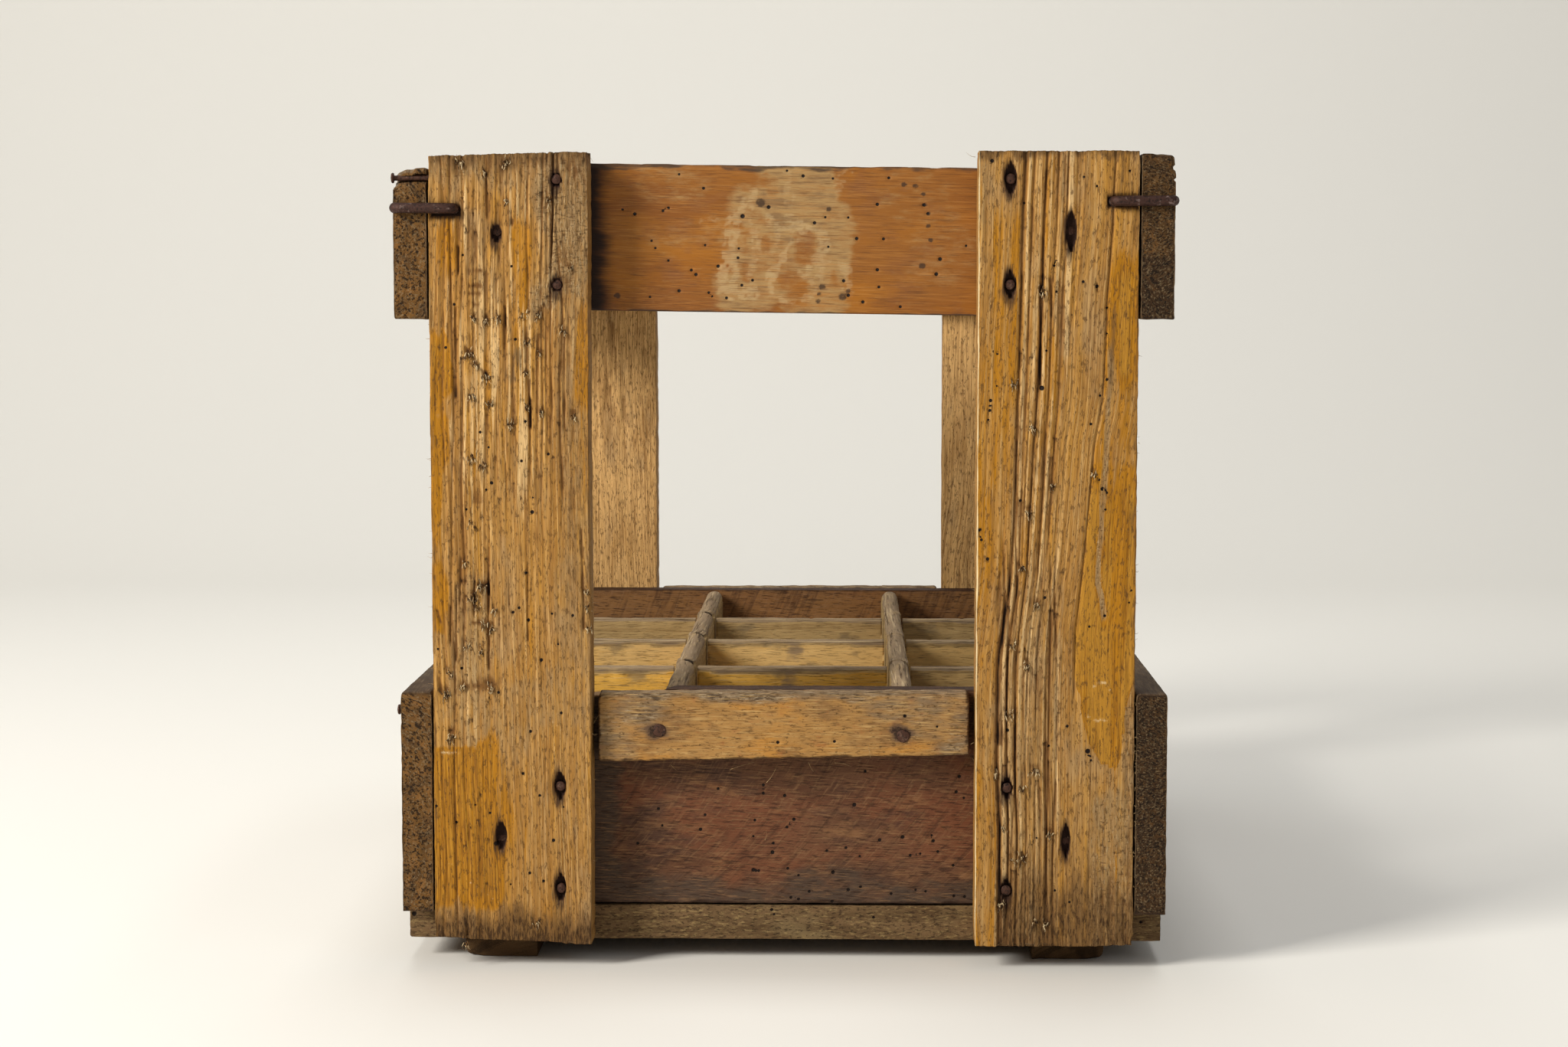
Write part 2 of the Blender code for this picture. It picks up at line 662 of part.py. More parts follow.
def build_crate():
    clear_scene()
    wood = wood_finishes()
    iron = iron_finish()
    posts = {(end, side): corner_post(end, side, wood["post"]) for end in ENDS for side in SIDES}
    rails = {side: upper_rail(side, wood["side"]) for side in SIDES}
    sides = {side: side_board(side, wood["side"]) for side in SIDES}
    post_nail = nail_mesh("post_nail", NAIL_HEAD_DIAMETER, POST_NAIL_LENGTH)
    batten_nail = nail_mesh("batten_nail", BATTEN_NAIL_HEAD_DIAMETER, BATTEN_NAIL_LENGTH)
    for side in SIDES:
        runner(side, wood["slat"])
        long_divider(side, wood["divider"])
    bottom_slats(wood["slat"])
    cross_dividers(wood["divider"])
    for end in ENDS:
        boards = [end_board(end, wood["end"]), top_board(end, wood["top"])]
        batten = grip_batten(end, wood["batten"])
        pair = [posts[end, side] for side in SIDES]
        nail_end(end, pair, boards, batten, post_nail, batten_nail, iron)
    corner_wires(list(posts.values()), list(rails.values()), iron)
    side_nail(sides["left"], posts["front", "left"], iron)
    rail_nail(rails["left"], posts["front", "left"], iron)


build_crate()
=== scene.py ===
import collections
import math

import bpy
import numpy as np
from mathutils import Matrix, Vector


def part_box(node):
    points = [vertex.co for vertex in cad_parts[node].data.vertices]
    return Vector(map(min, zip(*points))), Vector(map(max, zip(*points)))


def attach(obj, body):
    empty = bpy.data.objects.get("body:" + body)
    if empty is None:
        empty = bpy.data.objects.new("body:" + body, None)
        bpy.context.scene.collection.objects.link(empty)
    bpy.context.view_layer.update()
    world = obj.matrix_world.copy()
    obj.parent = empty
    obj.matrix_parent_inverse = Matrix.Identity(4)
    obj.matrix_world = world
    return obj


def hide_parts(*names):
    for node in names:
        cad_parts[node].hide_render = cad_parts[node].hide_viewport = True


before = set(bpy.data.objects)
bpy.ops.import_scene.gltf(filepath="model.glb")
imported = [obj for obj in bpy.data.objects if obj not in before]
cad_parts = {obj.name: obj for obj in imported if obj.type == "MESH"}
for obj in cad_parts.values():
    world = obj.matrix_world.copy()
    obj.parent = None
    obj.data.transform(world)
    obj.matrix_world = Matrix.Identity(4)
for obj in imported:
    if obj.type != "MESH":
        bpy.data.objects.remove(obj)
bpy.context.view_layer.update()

# The view. The crate was photographed from a little above its middle and to its right, a good metre away,
# with a short telephoto lens. The image is taken to be 2048 by 1367 pixels.
IMAGE_WIDTH = 2048
IMAGE_HEIGHT = 1367
FOCAL_LENGTH_PIXELS = 3696.7
SENSOR_WIDTH_MM = 36
CAMERA_PLACE = (0.0259, -1.3949, 0.2889)
CAMERA_PITCH_DOWN = 0.08496
CAMERA_YAW_LEFT = 0.02172

camera = bpy.data.objects.new("camera", bpy.data.cameras.new("camera"))
camera.data.sensor_width = SENSOR_WIDTH_MM
camera.data.lens = SENSOR_WIDTH_MM * FOCAL_LENGTH_PIXELS / IMAGE_WIDTH
camera.location = CAMERA_PLACE
camera.rotation_euler = (math.pi / 2 - CAMERA_PITCH_DOWN, 0, CAMERA_YAW_LEFT)
bpy.context.scene.collection.objects.link(camera)
bpy.context.scene.camera = camera


def linear(code):
    """The linear colour of an sRGB hex code: each channel c becomes ((c + 0.055) / 1.055) ** 2.4, or c /
    12.92 where it is small."""
    channels = [int(code[i : i + 2], 16) / 255 for i in (1, 3, 5)]
    return (*(c / 12.92 if c <= 0.04045 else ((c + 0.055) / 1.055) ** 2.4 for c in channels), 1)


def feed(node, inputs):
    """Links each input of a node that is given as another node's output, and sets any other."""
    for key, value in inputs.items():
        if isinstance(value, bpy.types.NodeSocket):
            node.id_data.links.new(value, node.inputs[key])
        else:
            node.inputs[key].default_value = value


def add(tree, kind, inputs, **settings):
    """Adds a node of this kind with its settings and feeds its inputs."""
    node = tree.nodes.new(kind)
    for name, value in settings.items():
        setattr(node, name, value)
    feed(node, inputs)
    return node


def material(name):
    """A new material with its node tree and its shader."""
    finish = bpy.data.materials.new(name)
    finish.use_nodes = True
    return finish, finish.node_tree, finish.node_tree.nodes["Principled BSDF"]


# The studio. A pale matt floor sweeps up behind the crate into a backdrop, like a roll of paper. A broad
# soft lamp stands at the left, as the window did, with a weak one opposite, one overhead and an even pale
# surround.
PAPER_COLOUR = "#ECEAE4"
PAPER_HALF_WIDTH = 3.0
PAPER_FRONT = -2.6
PAPER_BEND_START = 1.3
PAPER_BEND_RADIUS = 0.9
PAPER_TOP = 3.2
PAPER_FIBRE_MM = 1.5

turn = np.linspace(0, math.pi / 2, 24)
sweep = np.concatenate([
    [[PAPER_FRONT, 0]],
    np.stack([
        PAPER_BEND_START + PAPER_BEND_RADIUS * np.sin(turn),
        PAPER_BEND_RADIUS * (1 - np.cos(turn)),
    ], axis=1),
    [[PAPER_BEND_START + PAPER_BEND_RADIUS, PAPER_TOP]],
])
paper_points = np.concatenate([
    np.insert(sweep, 0, side * PAPER_HALF_WIDTH, axis=1) for side in (-1, 1)
])
step = np.arange(len(sweep) - 1)
paper_faces = np.stack([step, step + len(sweep), step + len(sweep) + 1, step + 1], axis=1)
paper_mesh = bpy.data.meshes.new("paper_sweep")
paper_mesh.from_pydata(paper_points.tolist(), [], paper_faces.tolist())
paper_mesh.shade_smooth()
paper = bpy.data.objects.new("paper_sweep", paper_mesh)
bpy.context.scene.collection.objects.link(paper)

# Uncoated paper: matt, with a grain of fibres that is only just there.
paper_finish, tree, shader = material("uncoated backdrop paper")
place = add(tree, "ShaderNodeTexCoord", {}).outputs["Object"]
fibres = add(tree, "ShaderNodeTexNoise", {"Vector": place, "Scale": 1000 / PAPER_FIBRE_MM, "Detail": 2})
relief = add(tree, "ShaderNodeBump", {
    "Height": fibres.outputs["Fac"], "Strength": 0.04, "Distance": 0.0002,
})
feed(shader, {
    "Base Color": linear(PAPER_COLOUR), "Roughness": 0.9, "Specular IOR Level": 0.2,
    "Normal": relief.outputs["Normal"],
})
paper_mesh.materials.append(paper_finish)

LAMPS = {
    # name: place, what it points at, width and height in metres, watts, colour
    "window_lamp": ((-1.9, -1.5, 1.4), (0, 0, 0.16), (0.8, 1.0), 76, "#FFFAF2"),
    "far_lamp": ((1.9, -1.7, 1.1), (0, 0, 0.2), (1.6, 1.6), 5, "#F3F6FF"),
    "top_lamp": ((0.0, 0.5, 2.2), (0, 0.1, 0.1), (1.4, 1.4), 21, "#FFFFFF"),
}
SURROUND_COLOUR = "#F4F3F0"
SURROUND_STRENGTH = 0.27

for name, (place, target, size, watts, colour) in LAMPS.items():
    lamp = bpy.data.objects.new(name, bpy.data.lights.new(name, "AREA"))
    lamp.data.shape = "RECTANGLE"
    lamp.data.size, lamp.data.size_y = size
    lamp.data.energy = watts
    lamp.data.color = linear(colour)[:3]
    lamp.location = place
    aim = bpy.data.objects.new(name + "_aim", None)
    aim.location = target
    bpy.context.scene.collection.objects.link(aim)
    bpy.context.scene.collection.objects.link(lamp)
    follow = lamp.constraints.new("TRACK_TO")
    follow.target = aim
    follow.track_axis = "TRACK_NEGATIVE_Z"
    follow.up_axis = "UP_Y"
surround = bpy.data.worlds.new("studio_surround")
surround.use_nodes = True
surround.node_tree.nodes["Background"].inputs["Color"].default_value = linear(SURROUND_COLOUR)
surround.node_tree.nodes["Background"].inputs["Strength"].default_value = SURROUND_STRENGTH
bpy.context.scene.world = surround
bpy.context.scene.view_settings.view_transform = "Standard"

# Runners. Two skids of sawn softwood lie along the crate under its floor and carry it. The slats are nailed
# down to them. They are rounded at their outer lower corner and dark with floor dirt.
AXES = "XYZ"
RIM_STEP_MM = 0.3
GRAIN_BEND_MM = 2.0


def lattice(seed, *cells):
    """A fixed random number from -1 to 1 for each whole-numbered cell: the cell's numbers are multiplied by
    primes and mixed by shifts, as a hash does."""
    mixed = np.full(np.shape(cells[0]), seed * 7919 + 17, np.uint64)
    for cell, prime in zip(cells, (374761393, 668265263, 3266489917)):
        mixed ^= (np.asarray(cell, np.int64) * prime).astype(np.uint64) & np.uint64(0xFFFFFFFF)
        mixed = (mixed * np.uint64(2246822519)) & np.uint64(0xFFFFFFFF)
        mixed ^= mixed >> np.uint64(13)
    mixed = (mixed * np.uint64(3266489917)) & np.uint64(0xFFFFFFFF)
    mixed ^= mixed >> np.uint64(16)
    return mixed.astype(float) / 2**31 - 1


def cloud(seed, *fields):
    """Smooth noise from -1 to 1: the lattice's numbers at the corners of each unit cell, blended with the
    weight 3t² − 2t³ along each field."""
    fields = [np.asarray(field, float) for field in fields]
    cells = [np.floor(field).astype(np.int64) for field in fields]
    weights = []
    for field, cell in zip(fields, cells):
        t = field - cell
        weights.append(t * t * (3 - 2 * t))
    total = 0
    for corner in np.ndindex(*(2,) * len(fields)):
        share = 1
        for bit, weight in zip(corner, weights):
            share = share * (weight if bit else 1 - weight)
        total = total + share * lattice(seed, *(cell + bit for bit, cell in zip(corner, cells)))
    return total


def smooth(low, high, value):
    """0 below low, 1 above high and 3t² − 2t³ between them."""
    t = np.clip((value - low) / (high - low), 0, 1)
    return t * t * (3 - 2 * t)


def grid_lines(length, step, rim):
    """Places from 0 to length: rim apart at both ends, then each gap a third wider than the last until it
    is a step, and a step apart between."""
    grown = [0.0]
    gap = rim
    while gap < step and grown[-1] + gap < length / 2 - step:
        grown.append(grown[-1] + gap)
        gap *= 1.33
    count = max(1, round((length - 2 * grown[-1]) / step))
    middle = np.linspace(grown[-1], length - grown[-1], count + 1)
    return np.concatenate([grown[:-1], middle, length - np.array(grown[:-1][::-1])])


def block(lines):
    """The skin of a box of grid lines, as points and quads. Faces share the points of the edge where they
    meet, and the quads turn outward where the three axes are right-handed."""
    shape = [len(places) for places in lines]
    index = np.indices(shape)
    skin = np.zeros(shape, bool)
    for axis in range(3):
        skin |= (index[axis] == 0) | (index[axis] == shape[axis] - 1)
    number = np.full(shape, -1)
    number[skin] = np.arange(skin.sum())
    points = np.stack([places[i[skin]] for places, i in zip(lines, index)], axis=1)
    quads = []
    for axis in range(3):
        for end in (0, -1):
            sheet = np.take(number, end, axis=axis)
            ring = [sheet[:-1, :-1], sheet[1:, :-1], sheet[1:, 1:], sheet[:-1, 1:]]
            if (end == 0) != (axis == 1):
                ring = ring[::-1]
            quads.append(np.stack(ring, axis=-1).reshape(-1, 4))
    return points, np.concatenate(quads)


def box_mm(node):
    """The lowest and highest corners of a node of the frame, in millimetres."""
    return [np.array(corner) * 1000 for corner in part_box(node)]


class Timber:
    """One piece of wood that is worked on in millimetres, before it goes into the scene. a runs along its
    grain, b across it, and c down from its outer face, which is on the low or the high side. Its grid fills
    the box of the frame's node, in the given steps along a, b and c, with extra lines across the grain."""

    def __init__(self, node, along, across, outer, steps, extra=()):
        low, high = box_mm(node)
        self.node = node
        self.axes = [AXES.index(along), AXES.index(across)]
        self.axes.append(3 - sum(self.axes))
        self.start = low[self.axes]
        self.size = (high - low)[self.axes]
        self.way = np.ones(3)
        if outer == "high":
            self.start[2] = high[self.axes[2]]
            self.way[2] = -1
        lines = [grid_lines(n, step, RIM_STEP_MM) for n, step in zip(self.size, steps)]
        lines[0] = np.sort(np.concatenate([lines[0], extra]))
        self.points, self.quads = block(lines)
        turned = (self.axes[1] - self.axes[0]) % 3 != 1
        if turned != (self.way[2] < 0):
            self.quads = self.quads[:, ::-1]
        self.flat = self.points.copy()
        self.marks = {"cavity": np.zeros(len(self.points))}

    def soften(self, radius):
        """Rolls the arrises over. The box is drawn in by the radius at each point, and the point is put the
        radius away from it, so that faces stay flat and edges and corners turn round."""
        radius = np.clip(radius, 0.05, self.size[2] / 2.02)[:, None]
        inner = np.clip(self.points, radius, self.size - radius)
        out = self.points - inner
        self.normal = out / np.linalg.norm(out, axis=1, keepdims=True)
        self.points = inner + self.normal * radius

    def grow(self, pith, seed, lean=0.0, uneven=0.8, drift=0.0):
        """Gives the grain: distance from the pith's line, place along it, and arc round it, in millimetres.
        The pith is at (b, c), leans across by a share of the length, bends slowly and is moved by the
        drift. Uneven years move the rings."""
        a, b, c = self.flat.T
        x = (b + drift - pith[0] + lean * (a - self.size[0] / 2)
             + GRAIN_BEND_MM * cloud(seed, a / 110, b / 200))
        y = c - pith[1] + GRAIN_BEND_MM * cloud(seed + 1, a / 140, b / 200)
        radius = np.hypot(x, y)
        radius = (radius + uneven * (cloud(seed + 2, radius / 6, a / 300)
                                     + 0.6 * cloud(seed + 3, a / 35, b / 7, c / 7)))
        self.grain = np.stack([radius, a + seed * 37.0, np.arctan2(y, x) * np.hypot(*pith)], axis=1)

    def carve(self, depth):
        """Moves each point in along its normal by the depth, and adds it up as the mark of how sunk the
        point is."""
        self.points = self.points - self.normal * depth[:, None]
        self.marks["cavity"] = self.marks["cavity"] + depth

    def squeeze(self, axis, rise, drop):
        """Draws the low end of an axis in by the rise and its high end by the drop, and all between in
        proportion."""
        size = self.size[axis]
        self.points[:, axis] = rise + self.points[:, axis] * (size - rise - drop) / size

    def face(self):
        """1 on the outer face, fading to 0 where the arris turns away from it."""
        return smooth(0.35, 0.8, -self.normal[:, 2])

    def ends(self):
        """1 on the end grain."""
        return smooth(0.45, 0.85, np.abs(self.normal[:, 0]))

    def bore(self, holes):
        """Sinks a pit at each worm hole (a, b, radius) and gives the points near it their offset from its
        middle, in hole radii. The offset's third number is 0 near a hole and large elsewhere and halfway
        between two holes, so that no false hole shows there."""
        offset = np.full((len(self.points), 3), HOLE_FAR)
        nearest = np.full(len(self.points), 1e3)
        second = nearest.copy()
        outer = self.normal[:, 2] < -0.3
        for a, b, radius in holes:
            aside = self.flat[:, :2] - (a, b)
            gap = np.hypot(*aside.T) - radius
            closer = gap < nearest
            second = np.where(closer, nearest, np.minimum(second, gap))
            nearest = np.where(closer, gap, nearest)
            near = closer & (gap < HOLE_MARGIN_MM) & outer
            offset[near, :2] = aside[near] / radius
            offset[near, 2] = 0
        offset[(second - nearest < 0.5) & (nearest > 0.3), 2] = HOLE_FAR
        pit = WORM_HOLE_DEPTH_MM * outer * smooth(0.4, -0.3, nearest)
        self.points = self.points - self.normal * pit[:, None]
        self.marks["hole"] = offset

    def place(self, name, finish, slot):
        """Puts the piece into the scene as a mesh at the origin, with its grain and marks as attributes."""
        world = np.empty_like(self.points)
        world[:, self.axes] = (self.start + self.way * self.points) / 1000
        marks = {"grain": self.grain, "end": self.ends(), **self.marks}
        marks.setdefault("hole", np.full((len(world), 3), HOLE_FAR))
        put(name, world, self.quads, marks, finish, [self.node])


def put(name, world, quads, marks, finish, nodes):
    """A mesh object at the origin from points in metres and quads, smooth, with each mark as a point
    attribute. It rides on the crate and stands for the given nodes."""
    mesh = bpy.data.meshes.new(name)
    mesh.vertices.add(len(world))
    mesh.vertices.foreach_set("co", world.astype(np.float32).ravel())
    mesh.loops.add(quads.size)
    mesh.loops.foreach_set("vertex_index", quads.astype(np.int32).ravel())
    mesh.polygons.add(len(quads))
    mesh.polygons.foreach_set("loop_start", np.arange(0, quads.size, quads.shape[1], dtype=np.int32))
    mesh.polygons.foreach_set("use_smooth", np.ones(len(quads), bool))
    mesh.update(calc_edges=True)
    for mark, values in marks.items():
        vector = values.ndim == 2
        layer = mesh.attributes.new(mark, "FLOAT_VECTOR" if vector else "FLOAT", "POINT")
        layer.data.foreach_set("vector" if vector else "value", values.astype(np.float32).ravel())
    mesh.materials.append(finish)
    piece = bpy.data.objects.new(name, mesh)
    bpy.context.scene.collection.objects.link(piece)
    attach(piece, "root")
    if nodes:
        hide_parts(*nodes)


# One layer of a finish. Where a noise of this size and detail rises from low to high, the layer's colour,
# roughness and height in millimetres come in, up to its amount. The noise's size is given in millimetres
# through the rings, along the grain and, if it differs, round the rings, or along the axes of the mark that
# the layer runs over. A masked layer lies where its mark is, and the noise frays its edge.
Layer = collections.namedtuple(
    "Layer", "colour amount low high size mask fray detail roughen over rough height",
    defaults=(None, None, 4, 0.55, "grain", None, None),
)


def wood(name, ground, layers, rough, shine=0.2):
    """A finish built up in layers on a ground colour, with the worm holes sunk into it last and filled with
    painted shade.
    """
    finish, tree, shader = material(name)
    colour, dull, height = linear(ground), rough, 0.0
    for number, layer in enumerate(layers):
        size = (*layer.size, layer.size[0])[:3]
        grain = add(tree, "ShaderNodeAttribute", {}, attribute_name=layer.over).outputs["Vector"]
        scaled = add(tree, "ShaderNodeVectorMath", {
            0: grain, 1: [1 / n for n in size], 2: (number * 7.3, 1.7, 3.1),
        }, operation="MULTIPLY_ADD")
        value = add(tree, "ShaderNodeTexNoise", {
            "Vector": scaled.outputs[0], "Scale": 1, "Detail": layer.detail, "Roughness": layer.roughen,
        }).outputs["Fac"]
        if layer.mask:
            mark = add(tree, "ShaderNodeAttribute", {}, attribute_name=layer.mask).outputs["Fac"]
            frayed = add(tree, "ShaderNodeMath", {0: value, 1: layer.fray, 2: -0.5 * layer.fray},
                         operation="MULTIPLY_ADD").outputs[0]
            value = add(tree, "ShaderNodeMath", {0: mark, 1: frayed}, operation="ADD").outputs[0]
        amount = add(tree, "ShaderNodeMapRange", {
            "Value": value, "From Min": layer.low, "From Max": layer.high, "To Max": layer.amount,
        }, interpolation_type="SMOOTHSTEP").outputs["Result"]
        mixed = add(tree, "ShaderNodeMix", {0: amount, 6: colour, 7: linear(layer.colour)},
                    data_type="RGBA")
        colour = mixed.outputs[2]
        if layer.rough is not None:
            dull = add(tree, "ShaderNodeMix", {0: amount, 2: dull, 3: layer.rough}).outputs[0]
        if layer.height is not None:
            height = add(tree, "ShaderNodeMath", {0: amount, 1: layer.height, 2: height},
                         operation="MULTIPLY_ADD").outputs[0]
    # Painted shade: inside each worm hole the colour turns near black, for the shadow down the hole.
    offset = add(tree, "ShaderNodeAttribute", {}, attribute_name="hole").outputs["Vector"]
    reach = add(tree, "ShaderNodeVectorMath", {0: offset}, operation="LENGTH").outputs["Value"]
    inside = add(tree, "ShaderNodeMapRange", {
        "Value": reach, "From Min": 1.1, "From Max": 0.85,
    }).outputs["Result"]
    colour = add(tree, "ShaderNodeMix", {0: inside, 6: colour, 7: linear(WORM_HOLE_SHADE_COLOUR)},
                 data_type="RGBA")
    height = add(tree, "ShaderNodeMath", {0: inside, 1: -WORM_HOLE_DEPTH_MM, 2: height},
                 operation="MULTIPLY_ADD")
    relief = add(tree, "ShaderNodeBump", {"Height": height.outputs[0], "Strength": 1.0, "Distance": 0.001})
    feed(shader, {
        "Base Color": colour.outputs[2], "Roughness": dull, "Specular IOR Level": shine,
        "Normal": relief.outputs["Normal"],
    })
    return finish


# The near-black inside of the worm holes is painted shade that stands in for their depth.
WORM_HOLE_SHADE_COLOUR = "#160B05"
WORM_HOLE_DEPTH_MM = 0.6
HOLE_MARGIN_MM = 1.4
# The offset, in hole radii, of a point that is near no hole.
HOLE_FAR = 9.0

# Sawn softwood that has stood in dirt: dark, rough, with soft rings worn out and greasy grime over all.
dirty_softwood = wood("sawn softwood, floor dirt", "#5B4329", [
    Layer("#3A2815", 0.8, 0.42, 0.62, (2.4, 150, 40), detail=3, height=0.15),
    Layer("#7B6243", 0.6, 0.5, 0.75, (0.45, 20), detail=3, height=0.12),
    Layer("#2A1C10", 0.75, 0.45, 0.7, (12, 30)),
], rough=0.85)
RUNNER_ROUND_MM = 3.2
for side in ("left", "right"):
    runner = Timber(f"{side}_runner", "Y", "X", "low", (3.4, 1.6, 1.5))
    a, b, c = runner.flat.T
    outer = b if side == "left" else runner.size[1] - b
    lower = smooth(8, 3, outer) * smooth(5, 2, c)
    runner.soften(0.5 + 0.3 * cloud(3, a / 9, b / 5, c / 5) + (RUNNER_ROUND_MM - 0.5) * lower)
    runner.grow((40, -60), 11 if side == "left" else 12, uneven=0.6)
    runner.carve(0.12 + 0.12 * cloud(5, runner.grain[:, 0] / 1.2, a / 60))
    runner.place(f"{side}_runner_skid", dirty_softwood, "olive_brown_slat")

# Bottom slats. Five sawn boards lie across the runners and make the floor. The front one's edge shows under
# the end board, olive brown and mottled from damp, and its ends show beside the posts.
damp_slat = wood("sawn slat, damp stains", "#70573A", [
    Layer("#4E3A22", 0.55, 0.45, 0.6, (2.1, 170, 30), detail=3, height=0.1),
    Layer("#4A341E", 0.6, 0.48, 0.7, (9, 16), roughen=0.65),
    Layer("#86724F", 0.5, 0.55, 0.75, (16, 40), detail=3),
    Layer("#A08658", 0.6, 0.5, 0.64, (0.9, 4), roughen=0.7, height=0.14),
    Layer("#2C1D10", 0.7, 0.52, 0.64, (0.9, 2.6), roughen=0.7, height=-0.16),
    Layer("#5A4329", 0.7, 0.4, 0.9, (1.1, 3), "end", 0.5, detail=2, height=-0.1),
], rough=0.8)
SLAT_FRONT_MM = 18.3


def seen(u, v, behind):
    """Where the camera's ray through a pixel of the photograph meets the upright plane that lies this far
    behind the posts' front faces: x and z in millimetres."""
    right, up = (u - IMAGE_WIDTH / 2) / FOCAL_LENGTH_PIXELS, (IMAGE_HEIGHT / 2 - v) / FOCAL_LENGTH_PIXELS
    ahead = up * math.sin(CAMERA_PITCH_DOWN) + math.cos(CAMERA_PITCH_DOWN)
    rise = up * math.cos(CAMERA_PITCH_DOWN) - math.sin(CAMERA_PITCH_DOWN)
    x = right * math.cos(CAMERA_YAW_LEFT) - ahead * math.sin(CAMERA_YAW_LEFT)
    y = right * math.sin(CAMERA_YAW_LEFT) + ahead * math.cos(CAMERA_YAW_LEFT)
    reach = (behind - POST_FACE_MM - CAMERA_PLACE[1] * 1000) / y
    return CAMERA_PLACE[0] * 1000 + reach * x, CAMERA_PLACE[2] * 1000 + reach * rise


def on_front(piece, places, behind):
    """The places (u, v, radius) of worm holes in the photograph as (a, b, radius) on the front face of a
    piece whose a and b run along X and Z, in that order or the other."""
    spots = []
    for u, v, radius in places:
        x, z = seen(u, v, behind)
        spot = [(x, 0, z)[axis] - start for axis, start in zip(piece.axes[:2], piece.start)]
        spots.append((*spot, radius))
    return spots


POST_FACE_MM = 220
SLAT_WORM_HOLES = ((1008, 1188, 0.7), (1011, 1194, 0.5), (1141, 1198, 0.6), (541, 1193, 1.0),
                   (1490, 1204, 0.6))
for number in range(1, 6):
    node = f"bottom_slat_{number}"
    if number == 1:
        slat = Timber(node, "X", "Z", "low", (1.2, 0.7, 1.6))
    else:
        slat = Timber(node, "X", "Y", "low", (3.2, 1.8, 1.4))
    a, b, c = slat.flat.T
    slat.soften(0.7 + 0.45 * cloud(number, a / 14, b / 6, c / 6))
    slat.grow((20 + 9 * number, -45), 20 + number)
    ring = slat.grain[:, 0] / 2.1
    slat.carve(0.2 + 0.14 * cloud(31, ring, a / 50) + 0.12 * cloud(32, a / 3, b / 1.4, c / 1.2))
    if number == 1:
        slat.bore(on_front(slat, SLAT_WORM_HOLES, SLAT_FRONT_MM))
    slat.place(f"floor_slat_{number}", damp_slat, "olive_brown_slat")

# End boards. A thin sawn board closes each end from the floor up to the cells' tops. It is nailed to the
# backs of the posts, stained dark red-brown, and still carries the slanting marks of the saw.
stained_board = wood("sawn board, dark red-brown stain", "#63422D", [
    Layer("#4A2C1A", 0.6, 0.42, 0.62, (2.6, 210, 30), detail=3, height=0.12),
    Layer("#74432A", 0.6, 0.45, 0.66, (30, 60), detail=2),
    Layer("#453026", 0.75, 0.46, 0.68, (13, 30), roughen=0.62),
    Layer("#8C6440", 0.5, 0.54, 0.72, (9, 22), roughen=0.62),
    # Painted light: this layer lightens the board's inner face, most on the back board.
    Layer("#8E6539", 0.8, 0.3, 1.0, (6, 40), "fresh", 1.4),
    Layer("#3A2216", 0.5, 0.5, 0.68, (3.4, 40, 1), over="swing", height=-0.08),
    Layer("#8A6746", 0.42, 0.5, 0.72, (1.5, 10, 1), roughen=0.65, over="swing", height=0.08),
    # The damp layer also lays a painted shadow of the posts on the outer face beside them.
    Layer("#463A30", 0.85, 0.4, 1.05, (6, 14), "damp", 1.5, rough=0.8),
    Layer("#8E6A48", 0.55, 0.5, 0.68, (0.55, 9), detail=3, roughen=0.65, height=0.1),
    Layer("#2F1B10", 0.7, 0.53, 0.66, (0.6, 6), detail=3, roughen=0.65, height=-0.12),
    Layer("#2B190D", 0.85, 0.4, 1.1, (1.2, 8), "rim", 1.2, detail=3),
    Layer("#A9855B", 0.75, 0.4, 0.7, (0.6, 3), "chip", 0.4, detail=2),
    Layer("#4E3624", 0.7, 0.4, 0.9, (1.1, 3), "end", 0.5, detail=2, height=-0.1),
], rough=0.72)
END_CHIP_REACH_MM = 95
END_CHIP_DEPTH_MM = 2.8
END_CHIP_SLOPE_MM = 4
SAW_MARK_SPACING_MM = 2.1
SAW_RADIUS_MM = 206
SAW_CENTRE_ABOVE_MM = 163
POST_WIDTH_MM = 67
WORM_HOLE_RADII_MM = (0.4, 0.84)
END_BOARD_WORM_HOLES = (
    (938, 1030, .6), (997, 1025, .6), (997, 1036, .6), (1025, 1039, .7), (1116, 1051, .8), (860, 1056, .6),
    (865, 1078, .5), (915, 1083, .7), (921, 1064, .6), (986, 1071, .6), (1037, 1070, .7), (1028, 1080, .6),
    (833, 1101, .6), (1253, 1014, .7), (1249, 1034, .7), (1259, 1042, .5), (1130, 1007, .6),
    (1009, 1113, .8), (1010, 1101, .6), (984, 1092, .5), (984, 1136, .8), (991, 1137, .6), (1029, 1134, .6),
    (1043, 1143, .5), (1057, 1164, .6), (1033, 1172, .6), (1043, 1174, .6), (1088, 1139, .8),
    (1080, 1111, .6), (1105, 1107, .6), (1123, 1118, .5), (1149, 1097, .7), (1179, 1093, .8),
    (1108, 1162, .7), (1124, 1158, .6), (1164, 1167, .6), (1189, 1117, .6), (1202, 1115, .5),
    (1219, 1098, .7), (1217, 1091, .5), (1225, 1112, .6), (1245, 1130, .6), (1246, 1170, .6),
    (1260, 1171, .6), (1209, 1164, .5), (1196, 1162, .5), (1087, 1177, .6),
)


def chance(seed, count, *ranges):
    """Fixed random numbers for each of count things: one column for each range from low to high."""
    number = np.arange(count)
    return np.stack([
        low + (high - low) * (lattice(seed + place, number, number * 0) + 1) / 2
        for place, (low, high) in enumerate(ranges)
    ], axis=1)


def scattered(piece, count, seed):
    """Worm holes at random on the outer face, as (a, b, radius)."""
    return chance(seed, count, (0, piece.size[0]), (0, piece.size[1]), WORM_HOLE_RADII_MM)


